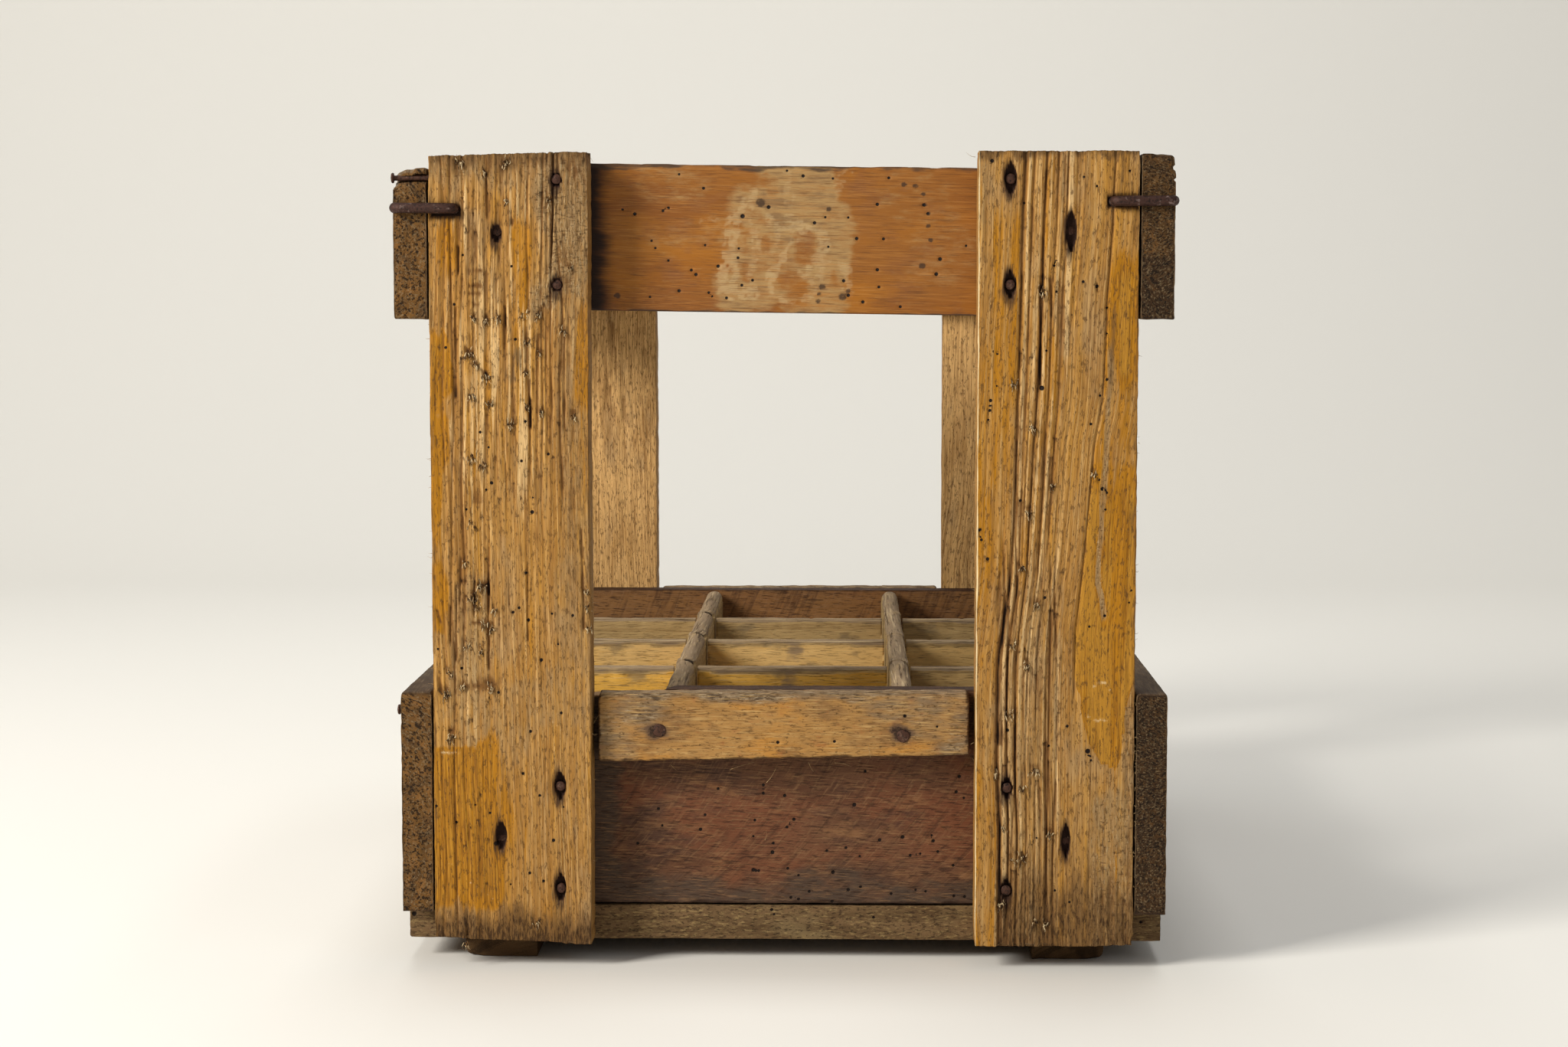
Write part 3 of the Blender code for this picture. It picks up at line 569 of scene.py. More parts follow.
for end, side in (("front", "low"), ("back", "high")):
    board = Timber(f"{end}_end_board", "X", "Z", side,
                   (1.2, 0.95, 1.4) if end == "front" else (2.1, 1.3, 1.8))
    a, b, c = board.flat.T
    board.soften(0.8 + 0.4 * cloud(41, a / 16, b / 8, c / 4))
    board.grow((30, -90), 42 if end == "front" else 45, lean=0.03)
    swing = a - np.sqrt(SAW_RADIUS_MM**2 - (SAW_CENTRE_ABOVE_MM - b) ** 2) + 0.8 * cloud(43, a / 30, b / 30)
    board.marks["swing"] = np.stack([swing, 1.3 * b, 0 * b], axis=1)
    saw = 0.5 + 0.5 * cloud(44, swing / SAW_MARK_SPACING_MM, b / 60)
    ring = board.grain[:, 0] / 2.4
    board.carve(0.18 + 0.1 * cloud(46, ring, a / 70) + 0.06 * cloud(47, a / 3, b / 1.3, c / 2) + 0.16 * saw)
    if end == "front":
        chip = smooth(END_CHIP_REACH_MM + END_CHIP_SLOPE_MM, END_CHIP_REACH_MM,
                      a + 3 * cloud(48, b / 3, c / 4))
        drop = chip * (END_CHIP_DEPTH_MM + 0.5 * cloud(49, a / 4, c / 3))
        board.points[:, 1] -= drop * smooth(board.size[1] - 12, board.size[1], b)
        board.marks["chip"] = chip * smooth(board.size[1] - 1.5, board.size[1] - 0.4, b)
        board.bore(on_front(board, END_BOARD_WORM_HOLES, SLAT_FRONT_MM))
    else:
        board.bore(scattered(board, 50, 401))
    # Beside each post the damp mark also darkens the outer face: painted shadow of the post, with a little
    # dirt.
    corner = smooth(POST_WIDTH_MM + 20, POST_WIDTH_MM + 4, a + 4 * cloud(38, a / 14, b / 12))
    board.marks["damp"] = np.maximum(smooth(28, 4, b + 6 * cloud(50, a / 24)), 1.15 * corner * board.face())
    board.marks["rim"] = smooth(2.6, 0.2, np.minimum(b + 0.8 * cloud(39, a / 7), board.size[1] - b))
    # Painted light: the inner face is made lighter, most on the back board.
    board.marks["fresh"] = (0.9 if end == "back" else 0.4) * smooth(0.3, 0.8, board.normal[:, 2])
    board.place(f"{end}_end_panel", stained_board, "dark_red_board")

# Side boards. One board closes each long side up to the height of the cells. It is grey-brown from
# handling, and its ends show as sawn end grain beside the posts. It is nailed to the posts, the end boards
# and the dividers.
handled_board = wood("sawn board, grey from handling", "#6F5A41", [
    Layer("#503A24", 0.7, 0.42, 0.62, (2.3, 230, 34), detail=3, height=0.14),
    Layer("#8E7A5D", 0.65, 0.48, 0.72, (0.5, 18), detail=3, height=0.12),
    Layer("#3F2D1B", 0.5, 0.55, 0.7, (0.4, 8), detail=2, height=-0.14),
    Layer("#56442F", 0.65, 0.48, 0.7, (18, 60)),
    Layer("#8F8471", 0.5, 0.55, 0.75, (26, 80), detail=3, rough=0.85),
    Layer("#2E2019", 0.85, 0.4, 1.1, (2.5, 8), "iron", 1.2),
    Layer("#6B4920", 0.92, 0.3, 0.9, (0.9, 2.5, 9), "end", 0.5, rough=0.9, height=-0.1),
    Layer("#4A3520", 0.7, 0.9, 1.3, (4.5, 2.5, 9.0), "end", 2.0),
    Layer("#8A5F30", 0.6, 1.0, 1.35, (3.2, 2.5, 5.0), "end", 2.0),
    Layer("#2B1D12", 0.88, 0.3, 1.15, (3, 6, 5), "shade", 1.0),
    Layer("#8A7658", 0.55, 0.98, 1.25, (0.85, 2.5), "end", 1.8, roughen=0.7, height=0.14),
    Layer("#180E07", 0.88, 1.04, 1.2, (1.1, 2.5), "end", 1.8, roughen=0.68, height=-0.25),
    Layer("#33241A", 0.75, 0.4, 1.2, (1.5, 12), "rim", 1.4),
], rough=0.78)
CROSS_NODES = ("front_cross_divider", "middle_cross_divider", "back_cross_divider")
# Where the nails stand, along the crate from its middle and up from the floor: into the posts, the cross
# dividers and the end boards.
POST_NAIL_MM = 211
SIDE_NAILS_MM = (45, 88)
DIVIDER_NAIL_UP_MM = 62
END_BOARD_NAIL_MM = 196
END_BOARD_NAIL_UP_MM = 66
IRON_STAIN_MM = 5.5
flush_heads = []


def centre_mm(node, axis):
    """The middle of a node's box along an axis, in millimetres."""
    return sum(box_mm(node))[AXES.index(axis)] / 2


def stained_heads(piece, side, face, places):
    """Notes a flush nail head at each place (y, z) on the outer face at x = face, and gives 1 at the heads,
    fading out over the width of the iron stain, which runs twice as far down."""
    stain = np.zeros(len(piece.flat))
    for y, z in places:
        flush_heads.append(((face, y, z), (-1 if side == "left" else 1, 0, 0)))
        along, up = piece.flat[:, 0] + piece.start[0] - y, piece.flat[:, 1] + piece.start[1] - z
        away = np.hypot(along, up * np.where(up < 0, 0.5, 1)) / IRON_STAIN_MM
        stain = np.maximum(stain, smooth(1.2, 0.3, away))
    return stain * piece.face()


SIDE_BOARD_TOP_ROUND_MM = 1.8
for side, outer in (("left", "low"), ("right", "high")):
    board = Timber(f"{side}_side_board", "Y", "Z", outer, (2.6, 1.3, 0.85))
    a, b, c = board.flat.T
    top = smooth(board.size[1] - 3, board.size[1] - 1, b)
    board.soften(0.5 + 0.3 * cloud(51, a / 12, b / 6, c / 4) + top * (SIDE_BOARD_TOP_ROUND_MM - 0.6))
    board.grow((25, -30) if side == "left" else (60, -35), 52 if side == "left" else 55, lean=0.02)
    rough_end = board.ends() * (0.25 + 0.25 * cloud(53, b / 1.1, c / 0.9) + 0.2 * cloud(54, b / 4, c / 3))
    board.carve(0.2 + 0.13 * cloud(56, board.grain[:, 0] / 2.2, a / 80) + 0.07 * cloud(57, a / 4, b / 1.5)
                + rough_end)
    board.bore(scattered(board, 60, 501 if side == "left" else 511))
    board.marks["rim"] = smooth(2.5, 0.2, np.minimum(b, board.size[1] - b))
    board.marks["shade"] = (0.3 if side == "left" else 1.0) * board.ends()
    nails = [(y, z) for y in (-POST_NAIL_MM, POST_NAIL_MM) for z in SIDE_NAILS_MM]
    nails += [(centre_mm(node, "Y"), DIVIDER_NAIL_UP_MM) for node in CROSS_NODES]
    nails += [(y, END_BOARD_NAIL_UP_MM) for y in (-END_BOARD_NAIL_MM, END_BOARD_NAIL_MM)]
    board.marks["iron"] = stained_heads(board, side, board.start[2], nails)
    board.place(f"{side}_side_panel", handled_board, "grey_brown_board")

# Divider grid. Two long dividers with rounded tops run between the end boards. Three lower cross dividers
# are half-lapped into them and make twelve cells. Bottles have worn their paint through to tan wood.
worn_divider = wood("sawn divider, paint worn by bottles", "#AC9060", [
    Layer("#7E6238", 0.55, 0.42, 0.62, (2.2, 170, 30), detail=3, height=0.1),
    Layer("#DDB673", 0.9, 0.2, 0.55, (9, 30), "paint", 0.7),
    Layer("#E4B04C", 0.95, 0.6, 0.9, (9, 24), "paint", 0.9, rough=0.5),
    Layer("#77664C", 0.75, 0.56, 0.7, (12, 22), rough=0.85),
    Layer("#C9AC74", 0.5, 0.5, 0.68, (0.5, 12), detail=3, roughen=0.62, height=0.1),
    Layer("#4C3519", 0.6, 0.54, 0.68, (0.5, 7), detail=3, roughen=0.62, height=-0.12),
    Layer("#86725A", 0.9, 0.35, 1.05, (2.5, 20), "dust", 1.6, rough=0.95),
    Layer("#C6B08A", 0.7, 1.0, 1.4, (1.2, 60), "dust", 2.2, roughen=0.62),
    Layer("#38240F", 0.85, 1.05, 1.4, (1.4, 42), "dust", 2.2, roughen=0.62, height=-0.2),
    # Painted shade: this layer darkens the nicks beside the half laps almost to black.
    Layer("#1E1309", 0.9, 0.4, 0.8, (1, 2), "notch", 0.4, detail=2),
], rough=0.7)
# How much paint each cross divider has kept: at its left and middle cells, and at its right cell. Less paint
# kept at the front one's right cell darkens it: worn paint, and partly painted shade.
PAINT_KEPT = {
    "front_cross_divider": (1.0, 0.3),
    "middle_cross_divider": (0.58, 0.5),
    "back_cross_divider": (0.15, 0.1),
}
# Smears of dirt: the middle in pixels of the photograph, half the width and half the height in millimetres.
DIVIDER_SMEARS = {
    "front_cross_divider": ((1032, 888, 4.5, 6),),
    "middle_cross_divider": ((1038, 850, 5, 6),),
}
LONG_TOP_ROUND_MM = 4.6
CROSS_TOP_ROUND_MM = 2.2
LAP_GAP_MM = 0.7
LAP_SHARE = 0.5
LAP_PLAY_MM = 0.15
LAP_WALL_MM = 0.02
CROSS_DIVIDER_HEIGHT_MM = 88.8
NICK_FROM_CROSSING_MM = 4
NICK_DEPTH_MM = 1.8


def lapped(piece, crossings, half, level, from_top):
    """Opens a half lap at each crossing by squeezing the piece up or down to the lap's level there. Grid
    lines stand on both sides of each wall of a lap, a hair apart, so the wall is upright."""
    height = piece.size[1]
    for crossing in crossings:
        inside = np.abs(piece.flat[:, 0] - crossing) < half
        share = piece.points[:, 1] / height
        squeezed = share * level if from_top else level + share * (height - level)
        piece.points[:, 1] = np.where(inside, squeezed, piece.points[:, 1])


LONG_NODES = ("left_long_divider", "right_long_divider")
for node in LONG_NODES + CROSS_NODES:
    long = node in LONG_NODES
    others = CROSS_NODES if long else LONG_NODES
    along = 1 if long else 0
    low = box_mm(node)[0]
    crossings = [centre_mm(other, AXES[along]) - low[along] for other in others]
    other_low, other_high = box_mm(others[0])
    half = (other_high - other_low)[along] / 2 + LAP_GAP_MM
    walls = [crossing + way * (half + hair) for crossing in crossings for way in (-1, 1)
             for hair in (-LAP_WALL_MM, LAP_WALL_MM)]
    divider = Timber(node, AXES[along], "Z", "low", (1.8, 1.3, 1.1), extra=walls)
    a, b, c = divider.flat.T
    top = smooth(divider.size[1] - 7, divider.size[1] - 5.2, b)
    divider.soften(0.5 + top * ((LONG_TOP_ROUND_MM if long else CROSS_TOP_ROUND_MM) - 0.5))
    number = (LONG_NODES + CROSS_NODES).index(node)
    divider.grow((30 + 6 * number, -25), 60 + number)
    worn = 0.5 + 0.5 * cloud(66 + number, a / 9, c / 5)
    dents = top * (0.35 * worn + 0.5 * smooth(0.55, 0.95, cloud(71 + number, a / 5, c / 4)))
    divider.carve(0.14 + 0.08 * cloud(76, divider.grain[:, 0] / 2, a / 60) + dents)
    level = CROSS_DIVIDER_HEIGHT_MM * LAP_SHARE + (LAP_PLAY_MM if long else -LAP_PLAY_MM)
    lapped(divider, crossings, half, level, from_top=not long)
    below = (divider.size[1] - b + 0.9 * cloud(81 + number, a / 17, c / 30)
             + 0.5 * cloud(86 + number, a / 5, c / 30))
    dust = smooth(5.4, 2.6, below) if long else smooth(2.9, 1.5, below)
    for u, v, half_across, half_up in DIVIDER_SMEARS.get(node, ()):
        x, z = seen(u, v, low[1] + POST_FACE_MM)
        away = np.hypot((a + low[along] - x) / half_across, (b + low[2] - z) / half_up)
        dust = np.maximum(dust, 0.85 * smooth(1.4, 0.4, away + 0.3 * cloud(89, a / 3, b / 3)))
    divider.marks["dust"] = dust
    kept, kept_right = PAINT_KEPT.get(node, (0, 0))
    kept = kept + (kept_right - kept) * smooth(crossings[1], crossings[1] + 6, a)
    divider.marks["paint"] = kept * smooth(2.4, 3.6, below)
    nick = np.zeros(len(a))
    for crossing in crossings if node == "left_long_divider" else ():
        beside = np.abs(a - crossing + NICK_FROM_CROSSING_MM)
        nick = np.maximum(nick, smooth(5.0, 3.0, beside) * smooth(4.2, 6.2, c) * top)
    divider.points[:, 2] -= NICK_DEPTH_MM * nick
    divider.points[:, 1] -= NICK_DEPTH_MM / 2 * nick
    # The notch mark paints the nick's shade dark.
    divider.marks["notch"] = nick
    divider.place(f"{node}_strip", worn_divider, "worn_tan_divider")

# Corner posts. Four pine uprights carry the crate's corners and stand outside the end boards. Years outdoors
# have worn the soft rings out of them, torn strands off, and left amber varnish only in patches.
worn_pine = wood("aged pine, worn varnish", "#B08240", [
    Layer("#956629", 0.5, 0.44, 0.6, (1.7, 190, 30), detail=3, height=0.06),
    Layer("#BD872D", 0.6, 0.5, 0.66, (3.0, 80, 9)),
    # Painted light: this layer lightens the posts' inner faces.
    Layer("#DFB274", 0.9, 0.3, 1.0, (6, 40), "fresh", 1.4),
    Layer("#8B602C", 0.45, 0.48, 0.72, (12, 44)),
    Layer("#A08560", 0.6, 0.52, 0.72, (14, 38)),
    Layer("#805520", 0.6, 0.5, 0.64, (0.5, 120, 1.2), detail=3, roughen=0.6, height=-0.06),
    Layer("#D4AA6C", 0.55, 0.52, 0.66, (0.55, 100, 1.4), detail=3, roughen=0.6, height=0.06),
    # Pale rib crests: partly bleached wood, partly a painted highlight.
    Layer("#E2BE86", 0.8, 0.35, 1.0, (0.5, 14), "ridge", 1.2, detail=3, rough=0.85),
    Layer("#7E5320", 0.45, 0.5, 0.66, (0.9, 34), roughen=0.65, height=-0.08),
    Layer("#DBB377", 0.4, 0.54, 0.7, (0.8, 26), roughen=0.65, height=0.08),
    Layer("#957B56", 0.75, 0.35, 1.15, (2.2, 12), "weather", 1.6, detail=5, roughen=0.65, rough=0.88),
    Layer("#AB7208", 0.93, 0.35, 0.8, (1.4, 22), "varnish", 1.3, roughen=0.6, rough=0.38),
    Layer("#784A0A", 0.72, 0.92, 1.35, (0.6, 40), "varnish", 2.2, roughen=0.62),
    Layer("#CB9534", 0.5, 1.05, 1.45, (0.55, 30), "varnish", 2.2, roughen=0.62),
    Layer("#6B4619", 0.5, 0.52, 0.68, (0.42, 9), detail=3, height=-0.08),
    Layer("#4C3015", 0.65, 0.54, 0.63, (1.0, 3.4), roughen=0.72, height=-0.14),
    Layer("#C6AE84", 0.65, 0.95, 1.35, (0.6, 3.2), "weather", 2.4, roughen=0.68, height=0.1),
    Layer("#3A2714", 0.6, 1.04, 1.38, (0.6, 2.6), "weather", 2.4, roughen=0.68, height=-0.15),
    Layer("#452B16", 0.55, 1.08, 1.3, (3.0, 1.0), "weather", 2.6, detail=3, roughen=0.6, height=-0.15),
    Layer("#5B4A36", 0.7, 0.3, 1.2, (1.6, 9), "smudge", 1.6, roughen=0.62, rough=0.85),
    # Painted shade: these two layers darken the face by how deep it is carved, near black in gashes and
    # tears.
    Layer("#6B4520", 0.8, 0.5, 1.1, (0.6, 9), "cavity", 0.7, detail=3, rough=0.9),
    Layer("#1F110A", 0.97, 1.1, 1.8, (0.9, 6), "cavity", 0.7, detail=3),
    # Painted shade: this layer darkens the ragged ends where strands broke off, for the shadow of each step.
    Layer("#38220F", 0.88, 0.5, 1.1, (0.8, 2), "broken", 1.5, roughen=0.65, height=-0.3),
    # The grime layers also carry painted shade on the posts' side and back faces.
    Layer("#644829", 0.8, 0.4, 1.15, (1.2, 9), "grime", 1.6, detail=5, roughen=0.68, rough=0.9),
    Layer("#2F1D0F", 0.8, 1.0, 1.4, (0.8, 4), "grime", 2.4, roughen=0.68, height=-0.15),
    Layer("#2C1A14", 0.85, 0.35, 1.2, (0.6, 7), "iron", 1.8),
    Layer("#DDC294", 0.75, 0.35, 1.1, (1.0, 1.0), "scratch", 1.4, detail=3),
    # Painted highlight: this layer lightens the right post's left arris, where light from the left catches
    # it.
    Layer("#EDD9AC", 0.85, 0.4, 1.0, (1.0, 14), "arris", 0.8, detail=3),
    Layer("#655138", 0.9, 0.4, 0.9, (0.8, 2.5), "end", 0.9, rough=0.92, height=-0.25),
], rough=0.68)


def patch(piece, a_low, a_high, b_low, b_high, soft, seed):
    """1 inside a rectangle of the outer face and 0 outside it, with an edge that wanders and fades over the
    soft width in millimetres."""
    a, b = piece.flat[:, 0], piece.flat[:, 1]
    inside = np.minimum.reduce([a - a_low, a_high - a, b - b_low, b_high - b])
    return smooth(-soft / 2, soft / 2, inside + soft * cloud(seed, a / (3 * soft), b / (1.2 * soft)))


def lens(piece, a_at, b_at, half_along, half_across):
    """How far inside a lens-shaped gash each point lies, in millimetres: at its middle the gash reaches
    half_across to each side, and it narrows along the grain as a parabola."""
    a, b = piece.flat[:, 0] - a_at, piece.flat[:, 1] - b_at
    return half_across * (1 - (a / half_along) ** 2) - np.abs(b)


def trail(piece, places, behind):
    """The distance in millimetres from each point's place on the outer face to a line through pixels of the
    photograph."""
    line = np.array([(x, 0, z) for x, z in (seen(u, v, behind) for u, v in places)])
    line = line[:, piece.axes[:2]] - piece.start[:2]
    spot = piece.flat[:, :2]
    nearest = np.full(len(spot), np.inf)
    for first, last in zip(line[:-1], line[1:]):
        way = last - first
        share = np.clip((spot - first) @ way / (way @ way), 0, 1)
        nearest = np.minimum(nearest, np.hypot(*(spot - first - share[:, None] * way).T))
    return nearest


def course(piece, places):
    """How far across the piece a line through pixels of the photograph, from the top down, runs at each
    point's height, in millimetres."""
    line = np.array([seen(u, v, 0) for u, v in places])[::-1]
    return np.interp(piece.flat[:, 0] + piece.start[0], line[:, 1], line[:, 0]) - piece.start[1]


def groove(piece, b_at, width, lean, wander, seed, across=None):
    """1 along the middle of a groove that follows the grain, falling off as exp(−(distance / width)²). It
    leans by a share of the length and wanders a little."""
    a, b = piece.flat[:, 0], piece.flat[:, 1] if across is None else across
    centre = b_at + lean * (a - piece.size[0] / 2) + wander * cloud(seed, a / 38, a * 0)
    return np.exp(-(((b - centre) / width) ** 2))


def torn(piece, seed, width, length):
    """0 to 1 where strands have been torn off: the face is split into strands along the grain, each loses
    wood bit by bit along its length as a saw tooth does, and the loss ends in a ragged break."""
    a, b = piece.flat[:, 0], piece.flat[:, 1]
    strand = np.floor(b / width + 0.6 * cloud(seed, a / 55, b / 9))
    pace = length * (1 + 0.45 * lattice(seed + 1, strand, strand * 0))
    start = lattice(seed + 2, strand, strand * 0) * 500 + 1.2 * cloud(seed + 3, b / 0.8, a / 5)
    return (((a + start) / pace) % 1) ** 1.5


def nail_spots(piece, *words):
    """The middles of the end's nails whose names have all these words, as (a, b) on the outer face."""
    spots = []
    for node in sorted(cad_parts):
        if all(word in node.split("_") for word in (*words, "nail")) and node.startswith(("front", "back")):
            spots.append([
                centre_mm(node, AXES[axis]) - start for axis, start in zip(piece.axes[:2], piece.start)
            ])
    return spots


POST_TOP_SLANT_MM = {"left": 1.8, "right": 0.0}
POST_FOOT_WEAR_MM = {"left": 3.0, "right": 0.6}
GASH_DEPTH_MM = 2.7
TUFT_HOLLOW_DEPTH_MM = 0.55
TUFT_HOLLOW_HALF_HEIGHT_MM = 1.3
# Half length and half width of each gash in millimetres, for the nails from the top down.
GASHES = {
    "left": ((2.6, 2.5), (3.6, 2.3), (2.7, 2.5), (6.0, 2.5), (6.4, 2.5), (6.0, 2.5)),
    "right": ((6.8, 2.7), (9.0, 2.3), (5.8, 2.7), (4.4, 2.5), (7.2, 2.0), (4.6, 2.6)),
}
WIRE_BED_MM = 2.6
POST_OUTER_MM = 147.4
POST_WORM_HOLES = {
    "left": (
        (582, 452, .6), (673, 442, .6), (604, 330, .5), (668, 346, .5), (593, 395, .6), (686, 550, .6),
        (627, 564, .6), (638, 584, .5), (616, 595, .6), (681, 602, .6), (716, 593, .6), (642, 631, .7),
        (635, 640, .5), (696, 650, .4), (695, 669, .8), (609, 666, .5), (687, 749, .6), (678, 795, .6),
        (670, 801, .6), (690, 811, .7), (721, 802, .5), (748, 804, .6), (707, 863, .7), (729, 842, .4),
        (603, 876, .6), (651, 907, .6), (572, 851, .5), (733, 932, .6), (693, 957, .6), (683, 1013, .6),
        (705, 1041, .6), (570, 1059, .6), (621, 1056, .4), (640, 1066, .5), (596, 1080, .6),
        (648, 1106, .9), (723, 1099, .7), (692, 1143, .6), (710, 1153, .6), (736, 1055, .4),
        (667, 1159, .4),
    ),
    "right": (
        (1296, 210, .8), (1476, 223, .5), (1433, 243, .5), (1416, 231, .5), (1338, 265, .5),
        (1380, 341, .5), (1377, 347, .5), (1415, 368, .6), (1433, 374, .7), (1380, 381, .5),
        (1446, 402, .5), (1446, 436, .4), (1367, 458, .5), (1298, 459, .5), (1303, 462, .5),
        (1361, 507, 1.0), (1302, 504, .4), (1294, 523, .7), (1293, 536, .6), (1291, 548, .5),
        (1425, 554, .6), (1446, 496, .6), (1437, 517, .5), (1436, 627, .4), (1440, 639, .8),
        (1446, 644, .5), (1444, 666, .5), (1333, 654, .6), (1280, 692, .7), (1282, 705, .6),
        (1290, 730, .7), (1443, 805, .6), (1478, 772, .4), (1475, 788, .4), (1423, 819, .5),
        (1365, 781, .6), (1394, 949, .6), (1370, 975, .5), (1421, 982, 1.0), (1425, 994, .5),
        (1316, 954, .7), (1354, 1095, .4), (1397, 1179, .5), (1378, 1164, .5),
    ),
}
# Lines of the posts in pixels of the photograph, from the top down: the left post's split, and the right
# one's long crack, the seam at its right, the left and right edges of the varnish that is left, and the
# grey streak in it.
LEFT_SPLIT = ((722, 192), (722, 279), (719, 354), (719, 483), (722, 560))
POST_CRACK = ((1341, 202), (1329, 560), (1321, 750), (1306, 860), (1303, 996), (1307, 1090), (1304, 1238))
POST_SEAM = (
    (1458, 200), (1454, 296), (1447, 386), (1441, 519), (1437, 545), (1430, 580), (1422, 665), (1415, 738),
    (1405, 823), (1403, 905),
)
VARNISH_LEFT = POST_SEAM[:-1] + (
    (1403, 880), (1407, 901), (1412, 910), (1411, 926), (1416, 948), (1423, 971), (1432, 987), (1439, 999),
    (1448, 1001), (1458, 1008),
)
VARNISH_RIGHT = (
    (1488, 560), (1486, 700), (1484, 889), (1477, 905), (1470, 935), (1469, 957), (1464, 962), (1465, 992),
    (1458, 1008),
)
GREY_STREAK = ((1452, 440), (1450, 500), (1447, 560), (1441, 640), (1437, 720), (1435, 760), (1442, 806))
# How much varnish is left between its edges, by height above the foot in millimetres.
VARNISH_KEPT = ((60, 190, 206, 234, 244, 280, 298), (1.15, 1.1, 0.5, 0.45, 1.0, 0.95, 0.1))

# Torn tufts in pixels of the photograph, with half the width of the hollow above each in millimetres.
TUFTS = {
    "left": (
        (618, 415, 1.2), (635, 418, 1.6), (650, 416, 1.6), (683, 411, 1.4), (703, 413, 1.3),
        (736, 433, 0.9), (688, 445, 0.9), (704, 461, 0.9), (612, 463, 1.8), (624, 477, 1.6),
        (635, 493, 1.8), (686, 488, 0.8), (616, 515, 1.4), (667, 555, 1.6), (689, 530, 1.0),
        (707, 539, 1.2), (748, 543, 1.4), (617, 598, 1.8), (616, 684, 1.2), (640, 530, 1.0),
        (607, 735, 1.2), (622, 788, 1.6), (611, 845, 1.8), (629, 851, 1.4), (640, 898, 1.8),
        (603, 898, 1.2), (585, 906, 1.6), (589, 965, 1.4), (610, 1232, 1.6), (700, 1205, 1.4),
        (660, 214, 1.6), (600, 212, 1.8), (633, 226, 1.2), (661, 263, 1.0), (718, 262, 1.2),
        (744, 350, 1.2), (630, 767, 2.0), (615, 779, 1.4), (633, 814, 1.8), (642, 821, 1.2),
        (587, 880, 1.8), (646, 797, 1.2), (765, 775, 1.2), (766, 793, 1.0), (768, 820, 1.0),
        (582, 907, 1.8), (588, 962, 1.4), (630, 608, 1.2),
    ),
    "right": (
        (1318, 934, 1.9), (1351, 1006, 2.2), (1336, 1028, 1.4), (1371, 1090, 1.6), (1311, 1083, 1.0),
        (1335, 1121, 2.2), (1322, 1124, 1.2), (1308, 1182, 1.8), (1352, 1205, 1.6), (1366, 1207, 1.2),
        (1323, 503, 1.8), (1349, 559, 1.6), (1345, 668, 1.9), (1374, 636, 0.9), (1334, 742, 1.4),
        (1355, 790, 1.6), (1361, 382, 1.8), (1322, 842, 1.2), (1340, 868, 1.4), (1430, 620, 1.4),
        (1300, 1010, 1.0),
    ),
}
# Where strands have been torn out or have snapped: depth and width in millimetres, and the line in pixels
# of the photograph.
TEARS = {
    "left": (
        (1.0, 0.5, ((588, 794), (588, 843))), (0.9, 0.45, ((596, 766), (596, 864))),
        (1.1, 0.5, ((620, 747), (619, 806))), (0.8, 0.45, ((638, 717), (638, 874))),
        (0.7, 0.6, ((638, 752), (638, 776))), (0.8, 0.35, ((689, 741), (689, 839))),
        (0.9, 0.4, ((665, 762), (665, 794))), (0.8, 0.5, ((759, 690), (763, 823))),
        (0.7, 0.5, ((602, 733), (600, 790))), (1.0, 0.9, ((618, 816), (642, 818))),
        (0.6, 0.7, ((620, 900), (637, 896))), (0.6, 0.7, ((600, 899), (610, 898))),
        (1.0, 0.9, ((624, 766), (636, 767))), (0.8, 0.8, ((604, 762), (616, 757))),
        (1.0, 0.8, ((571, 800), (575, 815))), (0.7, 0.6, ((573, 890), (577, 912))),
        (0.9, 0.5, ((598, 320), (598, 354))), (0.9, 0.5, ((594, 398), (595, 519))),
        (0.8, 0.5, ((635, 224), (636, 282))), (0.8, 0.5, ((667, 260), (668, 291))),
        (1.0, 0.6, ((691, 495), (692, 558))), (0.6, 0.4, ((737, 434), (737, 558))),
        (0.7, 0.5, ((659, 400), (660, 425))), (0.8, 0.5, ((612, 514), (612, 539))),
        (0.8, 1.0, ((608, 453), (614, 462))), (0.8, 1.0, ((629, 482), (637, 492))),
        (0.8, 0.8, ((611, 353), (628, 352))), (0.8, 0.8, ((613, 371), (627, 371))),
        (0.7, 0.8, ((612, 381), (626, 383))), (0.7, 0.8, ((612, 393), (624, 395))),
    ),
    "right": (
        (0.9, 0.4, ((1359, 367), (1359, 505))), (0.7, 0.4, ((1373, 369), (1373, 413))),
        (0.9, 0.8, ((1357, 362), (1376, 364))), (0.8, 0.6, ((1433, 370), (1434, 383))),
    ),
}
# Each scuff: half its width in millimetres, how strong it is, and its ends in pixels of the photograph.
SCRATCHES = {
    "left": (
        (0.45, 0.8, ((577, 988), (613, 990))), (0.3, 0.6, ((613, 1158), (658, 1188))),
        (0.3, 0.5, ((637, 1167), (655, 1168))), (0.35, 0.5, ((716, 938), (752, 974))),
        (0.35, 0.45, ((722, 932), (768, 950))), (0.4, 0.5, ((574, 1133), (591, 1134))),
        (0.5, 0.45, ((690, 1040), (702, 1052))),
    ),
    "right": (
        (0.3, 1.0, ((1430, 884), (1445, 885))), (0.3, 0.9, ((1431, 891), (1444, 892))),
        (0.4, 1.0, ((1428, 898), (1450, 901))), (0.8, 0.8, ((1421, 938), (1447, 944))),
        (1.0, 0.45, ((1434, 700), (1440, 800))), (0.6, 0.6, ((1300, 1005), (1302, 1016))),
    ),
}

# pale: strips by the right post's grooves, lighter partly as a painted highlight; arris: a painted
# highlight.
Wear = collections.namedtuple("Wear", "ribbed lines step_off rough varnish weather smudge grime pale arris")


